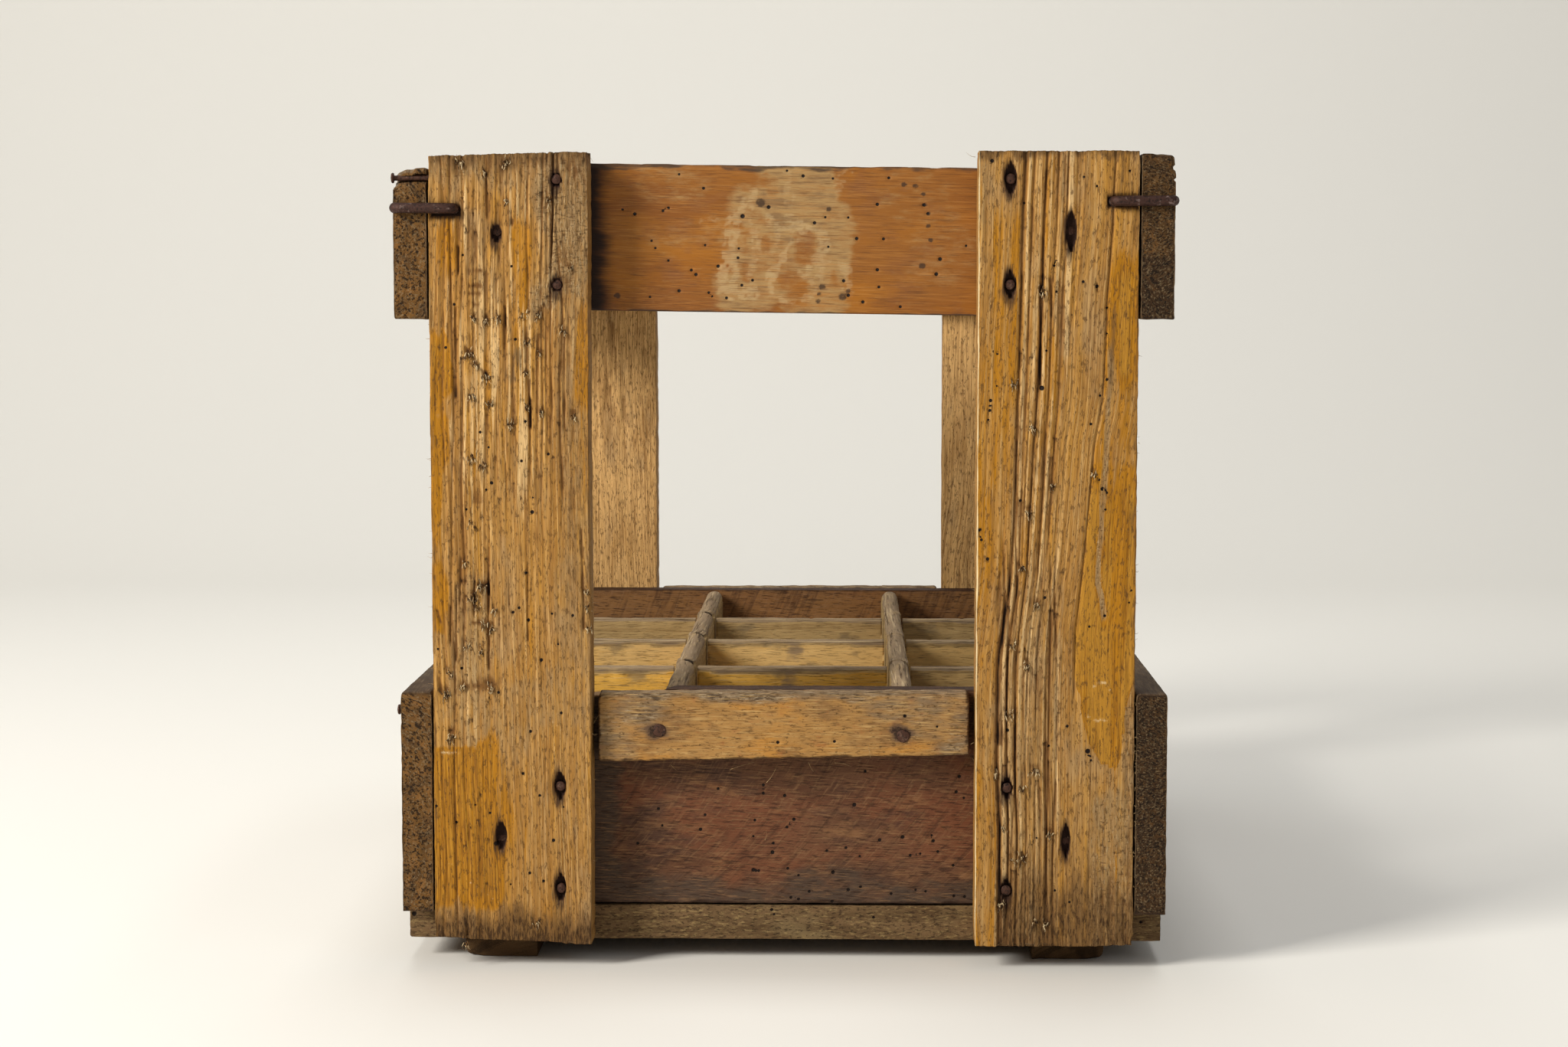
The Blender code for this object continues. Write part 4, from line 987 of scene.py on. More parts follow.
def left_wear(post, seed):
    """The wear of a left post's face at each point: how ribbed it is, the depths of its lines and of its
    steps where strands are gone, how rough it is, and its marks."""
    a, b = post.flat[:, 0], post.flat[:, 1]
    ribbed = smooth(9, 13, b) * smooth(56, 50, b)
    ribbed = np.maximum(ribbed, 0.55) * (0.75 + 0.4 * smooth(180, 230, a) * smooth(330, 300, a))
    ribbed = ribbed * (1 - 0.5 * smooth(22, 28, b) * smooth(195, 175, a))
    lines = np.exp(-(((b - course(post, LEFT_SPLIT)) / 0.4) ** 2)) * smooth(205, 240, a)
    lines = lines * (0.7 + 1.3 * smooth(276, 300, a))
    for place, deep in ((5.5, 0.5), (9.8, 0.8), (14.2, 0.6), (31, 0.5), (41, 0.6), (47.5, 0.8),
                        (54.5, 0.7)):
        kept = 1 - 0.65 * smooth(25, 30, b) * smooth(200, 175, a)
        lines = lines + deep * kept * groove(post, place, 0.45, 0.003, 1.3, int(place) + 60)
    step_off = 0.6 * patch(post, 107, 150, 13.5, 29, 1.2, seed + 6) * smooth(120, 109, a)
    step_off = step_off + 0.7 * patch(post, 187, 203, 17, 22, 1, seed + 7) * smooth(199, 189, a)
    rough = smooth(50, 58, b) + smooth(318, 326, a) + smooth(10, 4, a)
    blur = 2 + 14 * smooth(14, 24, b)
    edge = (84 + 16 * smooth(14, 26, b) - a + 1.2 * cloud(seed + 31, b / 2.2)) / blur
    varnish = np.maximum.reduce([
        1.1 * patch(post, 222, 266, -3, 8.5, 4, seed + 8)
        * smooth(266, 255, a + 4 * cloud(seed + 31, b / 2)),
        0.85 * patch(post, 130, 222, -3, 7, 5, seed + 24),
        1.15 * smooth(0, 1, edge) * smooth(6, 22, a + 4 * cloud(seed + 41, a / 9, b / 5))
        * smooth(40, 22, b + 4 * cloud(seed + 9, a / 25, b / 3)),
        0.5 * smooth(95, 65, a) * smooth(5, 24, a)
        * smooth(50, 30, b + 8 * cloud(seed + 10, a / 40, b / 3)),
        0.5 * smooth(0.2, 0.8, cloud(seed + 11, a / 70, b / 6)) * smooth(300, 260, a),
        0.75 * smooth(0.0, 0.6, cloud(seed + 34, a / 60, b / 8)) * smooth(210, 235, a)
        * smooth(318, 300, a),
    ])
    weather = np.maximum.reduce([
        0.75 * patch(post, 94, 160, 3, 26, 15, seed + 35),
        0.7 * patch(post, 86, 112, 3, 62, 14, seed + 36),
        0.7 * smooth(48, 56, b + 3 * cloud(seed + 37, a / 30, b / 6)) * smooth(60, 100, a),
        0.5 * smooth(28, 40, b) * smooth(95, 75, a),
        0.25 + 0.3 * cloud(seed + 38, a / 40, b / 9),
        0.95 * patch(post, 268, 350, 46, 70, 7, seed + 42),
        0.65 * patch(post, 226, 312, 12, 26, 9, seed + 43),
        0.8 * smooth(312, 324, a + 4 * cloud(seed + 13, b / 6, a / 9)),
    ])
    smudge = np.maximum.reduce([
        0.9 * patch(post, 236, 252, 30, 39, 7, seed + 15),
        0.6 * patch(post, 248, 264, 31, 35, 4, seed + 44),
    ]) * (0.85 + 0.6 * cloud(seed + 46, a / 9, b / 1.1))
    grime = np.maximum.reduce([
        smooth(318, 333, a + 3 * cloud(seed + 13, b / 6, a / 9)),
        1.2 * smooth(27, 4, a + 4 * cloud(seed + 14, b / 5, a / 9)),
        0.6 * smooth(49, 58, b + 3 * cloud(seed + 16, a / 20, b / 5)) * smooth(90, 130, a),
        0.3 + 0.3 * cloud(seed + 17, a / 34, b / 8),
        0.8 * smooth(3, 0.5, b + 1.5 * cloud(seed + 25, a / 8, b * 0)),
    ])
    return Wear(ribbed, lines, step_off, rough, varnish, weather, smudge, grime, 0, np.zeros(len(a)))


def right_wear(post, seed, flow, crack, seam):
    """The same of a right post's face, where the grain flows beside the crack and the seam, with its pale
    ridges, partly painted highlight, and its left arris painted bright as a highlight."""
    a, b = post.flat[:, 0], post.flat[:, 1]
    pale = 0
    low_ridges = smooth(190, 150, a) * smooth(7, 10, b) * smooth(41, 34, b)
    ribbed = 0.3 + 0.7 * np.maximum(smooth(17.5, 20.5, flow) * smooth(46, 38, flow), low_ridges)
    ribbed = ribbed + 0.35 * smooth(60, 20, a) * smooth(44, 52, b)
    lines = np.exp(-(((b - seam) / 0.45) ** 2)) * smooth(100, 110, a)
    for number, (place, deep, wide) in enumerate((
        (0, 1.4, 0.8), (3.8, 0.9, 0.5), (8.5, 1.1, 0.55), (13.4, 0.8, 0.45), (17.7, 0.6, 0.4),
        (23, 0.5, 0.4),
    )):
        lines = lines + deep * groove(post, crack.max() + place, wide, 0, 0.5, seed + number, flow)
        pale = pale + 0.75 * groove(post, crack.max() + place + 2, 0.8, 0, 0.5, seed + number, flow) * deep
    for place in (11.2, 13.6, 16.4, 30.6, 33.4):
        lines = lines + 0.8 * groove(post, place, 0.5, 0, 0.9, int(place)) * smooth(190, 150, a)
    step_off = 0.7 * patch(post, 86, 102, 9, 12, 1.0, seed + 6) * smooth(98, 88, a)
    rough = smooth(61, 64, b) + smooth(328, 333, a) + smooth(8, 3, a)
    streak = smooth(2.4, 0.5, np.abs(b - course(post, GREY_STREAK)) + 0.7 * cloud(seed + 5, a / 12, b / 2))
    streak = streak * smooth(132, 142, a) * smooth(262, 246, a)
    room = course(post, VARNISH_RIGHT) - b + 0.8 * cloud(seed + 10, a / 8, b * 0)
    inside = smooth(-0.3, 0.3, b - course(post, VARNISH_LEFT)) * smooth(-0.5, 0.6, room)
    varnish = np.maximum.reduce([
        np.interp(a, *VARNISH_KEPT) * inside * (1.15 + 0.5 * cloud(seed + 9, a / 80, b / 2.3)),
        0.55 * smooth(0.15, 0.8, cloud(seed + 11, a / 80, flow / 5)) * smooth(110, 160, a),
        0.8 * smooth(0.5, -1.5, b - crack + 1) * smooth(330, 300, a)
        * (0.6 + 0.4 * cloud(seed + 26, a / 60, b / 4)),
    ]) * (1 - 0.85 * streak)
    weather = np.maximum.reduce([
        0.85 * streak,
        0.7 * low_ridges,
        0.55 * smooth(34, 40, b) * smooth(0, -1, b - course(post, VARNISH_LEFT)) * smooth(170, 140, a),
        0.85 * smooth(74, 60, a + 3 * cloud(seed + 12, b / 6)) * smooth(38, 52, b),
        0.75 * smooth(284, 310, a) * smooth(10, 3, b + 2 * cloud(seed + 35, a / 20, b / 4)),
        0.85 * smooth(60, 63.5, b + cloud(seed + 36, a / 14, b / 5)) * smooth(120, 100, a),
        0.3 + 0.3 * cloud(seed + 37, a / 40, b / 9),
    ])
    grime = np.maximum.reduce([
        1.05 * smooth(327, 333, a + 3 * cloud(seed + 13, b / 6, a / 9)),
        1.05 * smooth(56, 14, a + 9 * cloud(seed + 14, b / 7, a / 22)) * smooth(6, 12, b),
        0.75 * smooth(62, 66, b + 1.2 * cloud(seed + 16, a / 12, b / 5)),
        0.9 * np.exp(-(((b - seam - 3) / 2.0) ** 2)) * smooth(0.0, 0.8, cloud(seed + 27, a / 22, b * 0))
        * smooth(200, 230, a),
        0.3 + 0.3 * cloud(seed + 17, a / 34, b / 8),
    ])
    # The left arris is painted pale as a highlight.
    arris = smooth(1.1, 0.3, b + 0.25 * cloud(seed + 39, a / 9, b * 0))
    arris = arris * smooth(0.1, 0.45, -post.normal[:, 2])
    return Wear(ribbed, lines, step_off, rough, varnish, weather, 0, grime, pale, arris)


for end in ("front", "back"):
    for side in ("left", "right"):
        steps = (1.6, 0.38, 1.6) if end == "front" else (2.4, 0.9, 1.8)
        post = Timber(f"{end}_{side}_post", "Z", "X", "low" if end == "front" else "high", steps)
        a, b, c = post.flat.T
        length, width = post.size[:2]
        inward = b if side == "left" else width - b
        seed = 100 + 20 * (side == "right") + 40 * (end == "back")
        post.soften(0.9 + 0.5 * cloud(seed, a / 22, b / 7, c / 5))
        # On a right post the grain flows along the crack and the seam.
        flow = b
        if side == "right":
            crack, seam = course(post, POST_CRACK), course(post, POST_SEAM)
            share = np.clip((b - crack) / (seam - crack), 0, 1)
            flow = b + (1 - share) * (crack.max() - crack) + share * (seam.max() - seam)
        post.grow((115, -30) if side == "left" else (-45, -25), seed + 1, lean=0.004, drift=flow - b)
        front = post.face()
        swaying = flow + 0.9 * cloud(seed + 2, a / 48, b / 9)
        run = a / (34 if side == "left" else 62)
        ribs = (0.5 * cloud(seed + 3, swaying / 0.62, run)
                + 0.65 * cloud(seed + 4, swaying / 1.5, run * 0.65))
        wear = left_wear(post, seed) if side == "left" else right_wear(post, seed, flow, crack, seam)
        # The relief of the worn face: ribs, lost strands, weathered pits, rough edges, lines and steps.
        relief = (0.16 + 0.42 * wear.ribbed * smooth(0.12, -0.5, ribs)
                  + 0.08 * cloud(seed + 18, a / 5, b / 1.1, c / 1.2))
        loss = torn(post, seed + 30, 1.9, 55)
        weathered = smooth(0.5, 0.9, wear.weather)
        relief = relief + 0.35 * wear.ribbed * loss
        relief = relief + 0.25 * weathered * smooth(0.0, 0.7, cloud(seed + 40, a / 2.6, b / 0.9))
        # Where a torn strand ends, the broken mark paints the shade of its step.
        broken = smooth(0.88, 1.0, loss) * smooth(0.25, 0.7, wear.ribbed)
        broken = broken * smooth(-0.3, 0.3, cloud(seed + 33, a / 35, b / 11) + 0.8 * weathered)
        relief = relief + 0.35 * wear.rough * (0.5 + 0.5 * cloud(seed + 28, a / 3.2, b / 1.5))
        relief = relief + front * (0.9 * wear.step_off + 0.8 * wear.lines)
        relief = relief + 0.5 * post.ends() * (0.5 + 0.5 * cloud(seed + 19, b / 1.3, c / 1.1))
        # The hollows above the tufts, the scuffs and the tears, where the photograph shows them.
        scratch = np.zeros(len(a))
        if end == "front":
            for u, v, half in TUFTS[side]:
                x, z = seen(u, v - 4, 0)
                near = (((b + post.start[1] - x) / half) ** 2
                        + ((a + post.start[0] - z) / TUFT_HOLLOW_HALF_HEIGHT_MM) ** 2)
                hollow = np.exp(-near) * (1 + 0.8 * cloud(seed + 32, b / 0.9, a / 2))
                relief = relief + front * TUFT_HOLLOW_DEPTH_MM * hollow
            for half, strong, places in SCRATCHES[side]:
                away = trail(post, places, 0)
                scratch = np.maximum(scratch, strong * smooth(half + 0.3, half * 0.4, away))
            for deep, wide, places in TEARS[side]:
                away = trail(post, places, 0) + 0.3 * cloud(seed + 45, a / 6, b / 3)
                relief = relief + front * deep * np.exp(-((away / wide) ** 2))
        # A gash and an iron stain round each sunk nail.
        spots = nail_spots(post, end, side, "top") + nail_spots(post, end, side, "foot")
        spots.sort(key=lambda spot: -spot[0])
        iron = np.zeros(len(a))
        for spot, (half_along, half_across) in zip(spots, GASHES[side]):
            inside = lens(post, *spot, half_along, half_across + 0.25 * cloud(seed + 21, a / 2, b / 2))
            relief = relief + front * GASH_DEPTH_MM * smooth(-0.15, 0.4, inside)
            away = np.hypot((a - spot[0] + 1) / (half_along + 6), (b - spot[1] + 0.5) / (half_across + 1.4))
            iron = np.maximum(iron, 1.15 * smooth(1.25, 0.35, away))
        # The bed that the corner wire has pressed into the face.
        wire = f"{end}_{side}_corner_wire"
        bed = np.abs(a + post.start[0] - centre_mm(wire, "Z")) / WIRE_BED_MM
        reach = POST_OUTER_MM + (box_mm(wire)[1][0] if side == "left" else -box_mm(wire)[0][0])
        along_wire = smooth(reach + 1, reach, inward)
        relief = np.maximum(relief, front * WIRE_BED_MM * np.sqrt(np.clip(1 - bed**2, 0, 1)) * along_wire)
        iron = np.maximum(iron, 0.8 * smooth(2.2, 1.0, bed) * smooth(reach + 4, reach, inward))
        post.carve(relief)
        # The worn foot and the slanting top, which lose most at the outer side.
        outward = 1 - inward / width
        ragged = post.ends() * smooth(4, 1, np.minimum(a, length - a))
        rise = POST_FOOT_WEAR_MM[side] * outward + 0.5 * ragged * (1 + cloud(seed + 29, b / 1.6, c / 3))
        post.squeeze(0, rise, POST_TOP_SLANT_MM[side] * outward)
        post.bore(on_front(post, POST_WORM_HOLES[side], 0) if end == "front"
                  else scattered(post, 26, seed + 23))
        # Painted shade: faces turned from the front darken through the grime mark, most on front posts.
        painted_side_shade = (0.6 if end == "front" else 0.15) * (1 - front)
        ridge = np.maximum(smooth(0.0, 0.6, ribs) * wear.ribbed, wear.pale)
        # Of these marks, the one on faces turned inward lightens them as painted light.
        post.marks.update(
            fresh=smooth(0.3, 0.8, post.normal[:, 2]), broken=broken * front, varnish=wear.varnish * front,
            ridge=ridge * front, scratch=scratch * front, weather=wear.weather * front, arris=wear.arris,
            iron=iron * front, smudge=wear.smudge * front,
            grime=np.maximum(wear.grime * front, painted_side_shade),
        )
        post.place(f"{end}_{side}_corner_post", worn_pine, "honey_pine")

# Top boards. A thin planed board ties the tops of each pair of posts together from the inside. It kept its
# reddish oil finish, and at the front lime water has dried on it in pale bands and veins. It has woodworm.
oiled_board = wood("planed board, reddish oil, dried lime water", "#8D5820", [
    Layer("#7A4516", 0.65, 0.42, 0.64, (3.2, 260, 40), detail=3, height=0.05),
    Layer("#A16416", 0.75, 0.45, 0.7, (22, 60)),
    Layer("#7E4F2B", 0.65, 0.5, 0.7, (12, 20), roughen=0.62),
    Layer("#A98658", 0.4, 0.9, 1.4, (3, 12), "scuff", 1.8, roughen=0.62, rough=0.75),
    Layer("#A88959", 0.84, 0.1, 0.95, (2.4, 9), "haze", 1.6, detail=5, roughen=0.7, rough=0.8),
    Layer("#75583A", 0.7, 0.7, 1.3, (2.6, 14), "haze", 2.4, roughen=0.65),
    Layer("#C0A578", 0.5, 0.2, 0.95, (1.2, 3), "lime", 1.2, roughen=0.6, rough=0.85, height=0.04),
    Layer("#B98140", 0.4, 0.48, 0.7, (0.5, 20), detail=3, roughen=0.62, height=0.05),
    Layer("#5E3715", 0.55, 0.52, 0.68, (0.5, 12), detail=3, roughen=0.62, height=-0.06),
    # Painted shadow: the corner layer darkens the outer face by each post almost to black, with a little
    # dirt.
    Layer("#150503", 0.97, 0.12, 0.9, (4, 20), "corner", 0.8, detail=3),
    Layer("#38271A", 0.85, 0.4, 0.95, (1.2, 1.6), "spot", 0.9, detail=3),
    Layer("#43352A", 0.9, 0.4, 1.1, (1.6, 9), "rim", 1.5, rough=0.9),
    Layer("#6A4726", 0.8, 0.4, 0.9, (1, 3), "end", 0.6, detail=2, height=-0.15),
], rough=0.5, shine=0.3)
TOP_BOARD_TILT_MM = 4.0
# Where the deposit is thickest: half its width in millimetres, how strong it is, and its line in pixels of
# the photograph.
LIME_VEINS = (
    (2.9, 0.8, ((973, 263), (956, 292), (958, 316), (951, 331), (946, 360), (946, 384), (958, 391),
                (980, 389))),
    (1.8, 0.7, ((981, 248), (980, 270), (970, 280))),
    (1.8, 0.7, ((980, 287), (985, 299), (986, 318))),
    (2.4, 0.7, ((961, 326), (961, 355), (956, 384))),
    (2.0, 0.75, ((1007, 282), (1021, 292), (1043, 292), (1057, 297), (1072, 306))),
    (3.2, 0.72, ((1014, 292), (1036, 297))),
    (1.7, 0.8, ((1043, 299), (1028, 326), (1016, 348), (1007, 364), (1004, 379), (1011, 391), (1028, 401))),
    (1.2, 0.6, ((1019, 306), (1014, 326))),
    (3.4, 0.6, ((1070, 335), (1074, 345), (1067, 360), (1055, 357))),
    (2.6, 0.65, ((1101, 345), (1108, 360), (1110, 377))),
    (2.4, 0.5, ((1031, 221), (1028, 287))),
    (2.4, 0.65, ((1072, 306), (1077, 321), (1070, 335))),
    (1.8, 0.55, ((1028, 401), (1048, 397), (1062, 385), (1060, 362))),
    (1.6, 0.6, ((985, 318), (983, 345), (979, 368), (980, 389))),
    (1.4, 0.5, ((986, 318), (997, 334), (1014, 328))),
    (3.0, 0.5, ((1104, 221), (1094, 239))),
    (0.7, 0.5, ((914, 290), (929, 282), (948, 285))),
)
# Dried puddles: half the width in millimetres, how strong, and the line in pixels of the photograph.
LIME_HAZE = (
    (16, 1.0, ((1043, 205), (1043, 268))),
    (8.5, 0.72, ((972, 268), (966, 392))),
    (7.5, 0.66, ((1000, 300), (1003, 396))),
    (9.5, 0.74, ((1084, 285), (1080, 396))),
    (9, 0.62, ((1035, 300), (1035, 396))),
    (9, 0.3, ((850, 225), (900, 240))),
    (14, 0.25, ((1190, 240), (1240, 330))),
    (8, 0.25, ((870, 320), (930, 300))),
)
# Where the oil shows through the puddles: half the width in millimetres and the line in pixels of the
# photograph.
AMBER_ISLANDS = (
    (4.2, ((1049, 316), (1052, 336))), (3.6, ((1026, 368), (1044, 374), (1042, 390))),
    (3.0, ((1008, 232), (1007, 244))), (1.9, ((974, 310), (975, 360))), (2.4, ((994, 286), (1000, 288))),
    (2.2, ((999, 310), (999, 328))), (1.6, ((952, 352), (953, 356))), (1.8, ((1088, 353), (1090, 372))),
    (1.6, ((968, 292), (966, 296))),
)
# Dark spots: the place in pixels of the photograph and the radius in millimetres.
TOP_BOARD_SPOTS = (
    (1180, 234, 1.3), (1195, 236, 1.3), (1205, 247, 1.1), (1207, 262, 1.2), (1212, 274, 1.1),
    (1212, 291, 1.2), (1215, 311, 1.2), (1204, 347, 1.6), (1073, 378, 1.6), (1070, 388, 1.0),
    (1068, 398, 1.2), (1100, 391, 1.9), (1107, 383, 1.2), (993, 262, 2.2), (1082, 270, 1.2),
    (806, 394, 1.6),
)
TOP_BOARD_WORM_HOLES = (
    (887, 224, .5), (919, 243, .6), (1049, 224, .7), (1028, 217, .5), (1161, 225, .6), (1146, 262, .7),
    (829, 280, .7), (866, 275, .6), (873, 271, .6), (1004, 268, .8), (970, 281, .9), (1064, 289, .7),
    (1078, 281, .5), (1108, 281, .5), (851, 317, .5), (856, 327, .5), (921, 322, .5), (873, 344, .5),
    (938, 351, .7), (964, 339, .6), (965, 326, .5), (903, 357, .6), (909, 363, .7), (887, 386, .7),
    (926, 388, .6), (930, 393, .5), (949, 395, .6), (969, 377, .6), (983, 370, .6), (1119, 310, .7),
    (1154, 310, .6), (1082, 322, .5), (1146, 353, .7), (1102, 369, .7), (1148, 377, .6), (1108, 389, .7),
    (1127, 398, .7), (1176, 404, .6), (1262, 318, .5), (813, 274, .5), (849, 395, .5), (1228, 337, .8),
    (1223, 358, .8), (1088, 227, .5), (1212, 274, .6), (1207, 262, .7),
)
for end, outer in (("front", "low"), ("back", "high")):
    board = Timber(f"{end}_top_board", "X", "Z", outer,
                   (0.95, 0.75, 1.4) if end == "front" else (1.8, 1.1, 1.6))
    a, b, c = board.flat.T
    board.soften(0.8 + 0.4 * cloud(201, a / 16, b / 8, c / 4))
    board.grow((28, -110), 202 if end == "front" else 206, lean=0.01)
    top = smooth(board.size[1] - 3, board.size[1] - 0.8, b)
    ragged = (top * (0.25 + 0.25 * cloud(203, a / 7, c / 5)
                     + 0.3 * smooth(0.4, 0.9, cloud(204, a / 5, c / 4))))
    board.carve(0.14 + 0.05 * cloud(205, board.grain[:, 0] / 3, a / 90) + ragged)
    share = a / board.size[0]
    board.squeeze(1, TOP_BOARD_TILT_MM * (1 - share), TOP_BOARD_TILT_MM * share)
    from_top = board.size[1] - b + 1.3 * cloud(208, a / 9) + 0.5 * cloud(218, a / 2.5)
    board.marks["rim"] = np.maximum(smooth(3.9, 0.5, from_top),
                                    0.9 * smooth(1.5, 0.3, b + 0.4 * cloud(219, a / 5)))
    # Beside each post: the post's painted shadow on the board, with some dirt in the corner.
    corner = smooth(POST_WIDTH_MM + 13, POST_WIDTH_MM - 2, a + 1.5 * cloud(220, a / 9, b / 14))
    board.marks["corner"] = corner * board.face()
    board.marks["scuff"] = smooth(-0.2, 0.8, cloud(209, a / 30, b / 20))
    if end == "front":
        sway = 1.6 * cloud(210, a / 4, b / 4) + 0.9 * cloud(211, a / 1.7, b / 1.7)
        lime = np.zeros(len(a))
        for half, strong, places in LIME_VEINS:
            away = trail(board, places, SLAT_FRONT_MM) + sway
            lime = np.maximum(lime, strong * smooth(half + 1.0, half - 1.2, away))
        bubbles = smooth(0.25, 0.6, cloud(216, a / 1.9, b / 1.9) + 0.2 * cloud(222, a / 9, b / 9))
        board.marks["lime"] = lime * board.face() * (1 - 0.75 * bubbles)
        haze = np.zeros(len(a))
        for half, strong, places in LIME_HAZE:
            reach = (trail(board, places, SLAT_FRONT_MM) + 3 * cloud(212, a / 9, b / 12)
                     + 1.2 * cloud(217, a / 3, b / 3))
            haze = np.maximum(haze, strong * smooth(half + 3, half - 3, reach))
        for half, places in AMBER_ISLANDS:
            reach = (trail(board, places, SLAT_FRONT_MM) + 2.4 * cloud(213, a / 6, b / 6)
                     + 0.8 * cloud(214, a / 2, b / 2))
            haze = haze * (0.5 + 0.5 * smooth(half - 1.2, half + 1.6, reach))
        board.marks["haze"] = haze * board.face() * (0.94 + 0.25 * cloud(221, a / 6, b / 4))
        spot = np.zeros(len(a))
        for u, v, radius in TOP_BOARD_SPOTS:
            away = trail(board, ((u, v), (u + 1, v)), SLAT_FRONT_MM)
            spot = np.maximum(spot, smooth(radius * 1.5, radius * 0.4, away))
        board.marks["spot"] = spot
        board.bore(on_front(board, TOP_BOARD_WORM_HOLES, SLAT_FRONT_MM))
    else:
        board.bore(scattered(board, 44, 215))
    board.place(f"{end}_tie_board", oiled_board, "reddish_board")

# Grip battens. A narrow batten between the posts thickens the rim where a hand lifts the crate. Two nails
# hold it to the end board. Hands have dirtied its upper arris and the nails have stained it.
handled_batten = wood("sawn batten, hand-worn", "#A67C45", [
    Layer("#8A6231", 0.6, 0.44, 0.64, (2.4, 150, 30), detail=3, height=0.08),
    Layer("#B87F34", 0.7, 0.5, 0.7, (10, 30), detail=3),
    Layer("#7D5B36", 0.8, 0.47, 0.7, (13, 22), detail=5, roughen=0.65),
    Layer("#9C6233", 0.6, 0.56, 0.72, (5, 8), roughen=0.65),
    Layer("#71604C", 0.9, 0.2, 1.3, (4, 16), "handled", 2.4, detail=5, roughen=0.65, rough=0.85),
    Layer("#B5A181", 0.6, 0.95, 1.45, (1.2, 7), "handled", 2.6, roughen=0.65),
    Layer("#33251A", 0.8, 1.0, 1.4, (1.5, 6), "handled", 2.6, roughen=0.65, height=-0.12),
    Layer("#C9A469", 0.6, 0.5, 0.68, (0.5, 12), detail=3, roughen=0.65, height=0.08),
    Layer("#5A3C1A", 0.65, 0.53, 0.66, (0.6, 5), detail=3, roughen=0.65, height=-0.1),
    Layer("#3F2913", 0.65, 0.57, 0.66, (1.3, 3), roughen=0.7),
    Layer("#352113", 0.85, 0.4, 1.1, (1.0, 4), "rim", 1.8, height=-0.15),
    Layer("#4E3A30", 0.75, 0.35, 1.1, (3, 6), "iron", 1.4),
    Layer("#22150F", 0.85, 0.95, 1.2, (1, 1), "iron", 0.6, detail=2),
    Layer("#5E452A", 0.8, 0.4, 0.9, (0.8, 3), "end", 0.6, detail=3, height=-0.15),
], rough=0.66)
BATTEN_TAPER_MM = 3.4
BATTEN_TOP_RISE_MM = 0.6
BATTEN_FRONT_MM = 6.3
BATTEN_WORM_HOLES = ((1182, 938, 0.7), (1016, 973, 0.7), (1090, 973, 0.6), (940, 902, 0.6),
                     (1224, 954, 0.5))
# Where hands have darkened the face, in shares of it: place along, place up, half length, half height.
BATTEN_SMEARS = (
    (0.12, 0.75, 0.13, 0.4), (0.0, 0.35, 0.12, 0.6), (0.86, 0.75, 0.18, 0.5), (1.0, 0.4, 0.12, 0.8),
    (0.5, 1, 0.45, 0.17),
)
for end, outer in (("front", "low"), ("back", "high")):
    batten = Timber(f"{end}_grip_batten", "X", "Z", outer,
                    (0.85, 0.6, 1.0) if end == "front" else (1.4, 0.9, 1.2))
    a, b, c = batten.flat.T
    length, height = batten.size[:2]
    top = smooth(height - 4, height - 1.5, b)
    batten.soften(0.8 + 0.4 * cloud(231, a / 14, b / 6, c / 4) + 0.9 * top)
    batten.grow((12, -34), 232 if end == "front" else 236, lean=0.02)
    dents = (top * (0.25 + 0.25 * cloud(233, a / 5, c / 5)
                    + 0.5 * smooth(0.5, 0.9, cloud(234, a / 4, c / 3))))
    foot = smooth(2, 0.3, b) * (0.2 + 0.3 * cloud(237, a / 3, c / 3))
    batten.carve(0.18 + 0.07 * cloud(235, batten.grain[:, 0] / 2.2, a / 60)
                 + 0.05 * cloud(238, a / 3, b / 1.2) + dents + foot)
    batten.squeeze(1, BATTEN_TAPER_MM * a / length, BATTEN_TOP_RISE_MM * (1 - a / length))
    iron = np.zeros(len(a))
    for spot in nail_spots(batten, end, "batten"):
        away = (np.hypot((a - spot[0] + 1.0) / 4.8, (b - spot[1] + 0.2) / 3.8)
                + 0.25 * cloud(239, a / 4, b / 2.6))
        iron = np.maximum(iron, 1.15 * smooth(1.9, 0.5, away))
    batten.marks["iron"] = iron * batten.face()
    handled = 1.1 * smooth(height - 7, height - 1, b + 2.5 * cloud(240, a / 12))
    for along, up, half_along, half_up in BATTEN_SMEARS:
        away = (np.hypot((a / length - along) / half_along, (b / height - up) / half_up)
                + 0.3 * cloud(243, a / 7, b / 5))
        handled = np.maximum(handled, 0.92 * smooth(1.4, 0.2, away))
    batten.marks["handled"] = handled
    edge = np.minimum.reduce([b + 0.6 * cloud(241, a / 5), a + 0.3 + 0.5 * cloud(244, b / 3),
                              length - a + 0.9 * cloud(245, b / 2.2)])
    batten.marks["rim"] = smooth(2.6, 0.2, edge)
    batten.bore(on_front(batten, BATTEN_WORM_HOLES, BATTEN_FRONT_MM) if end == "front"
                else scattered(batten, 14, 242))
    batten.place(f"{end}_hand_batten", handled_batten, "tan_batten")

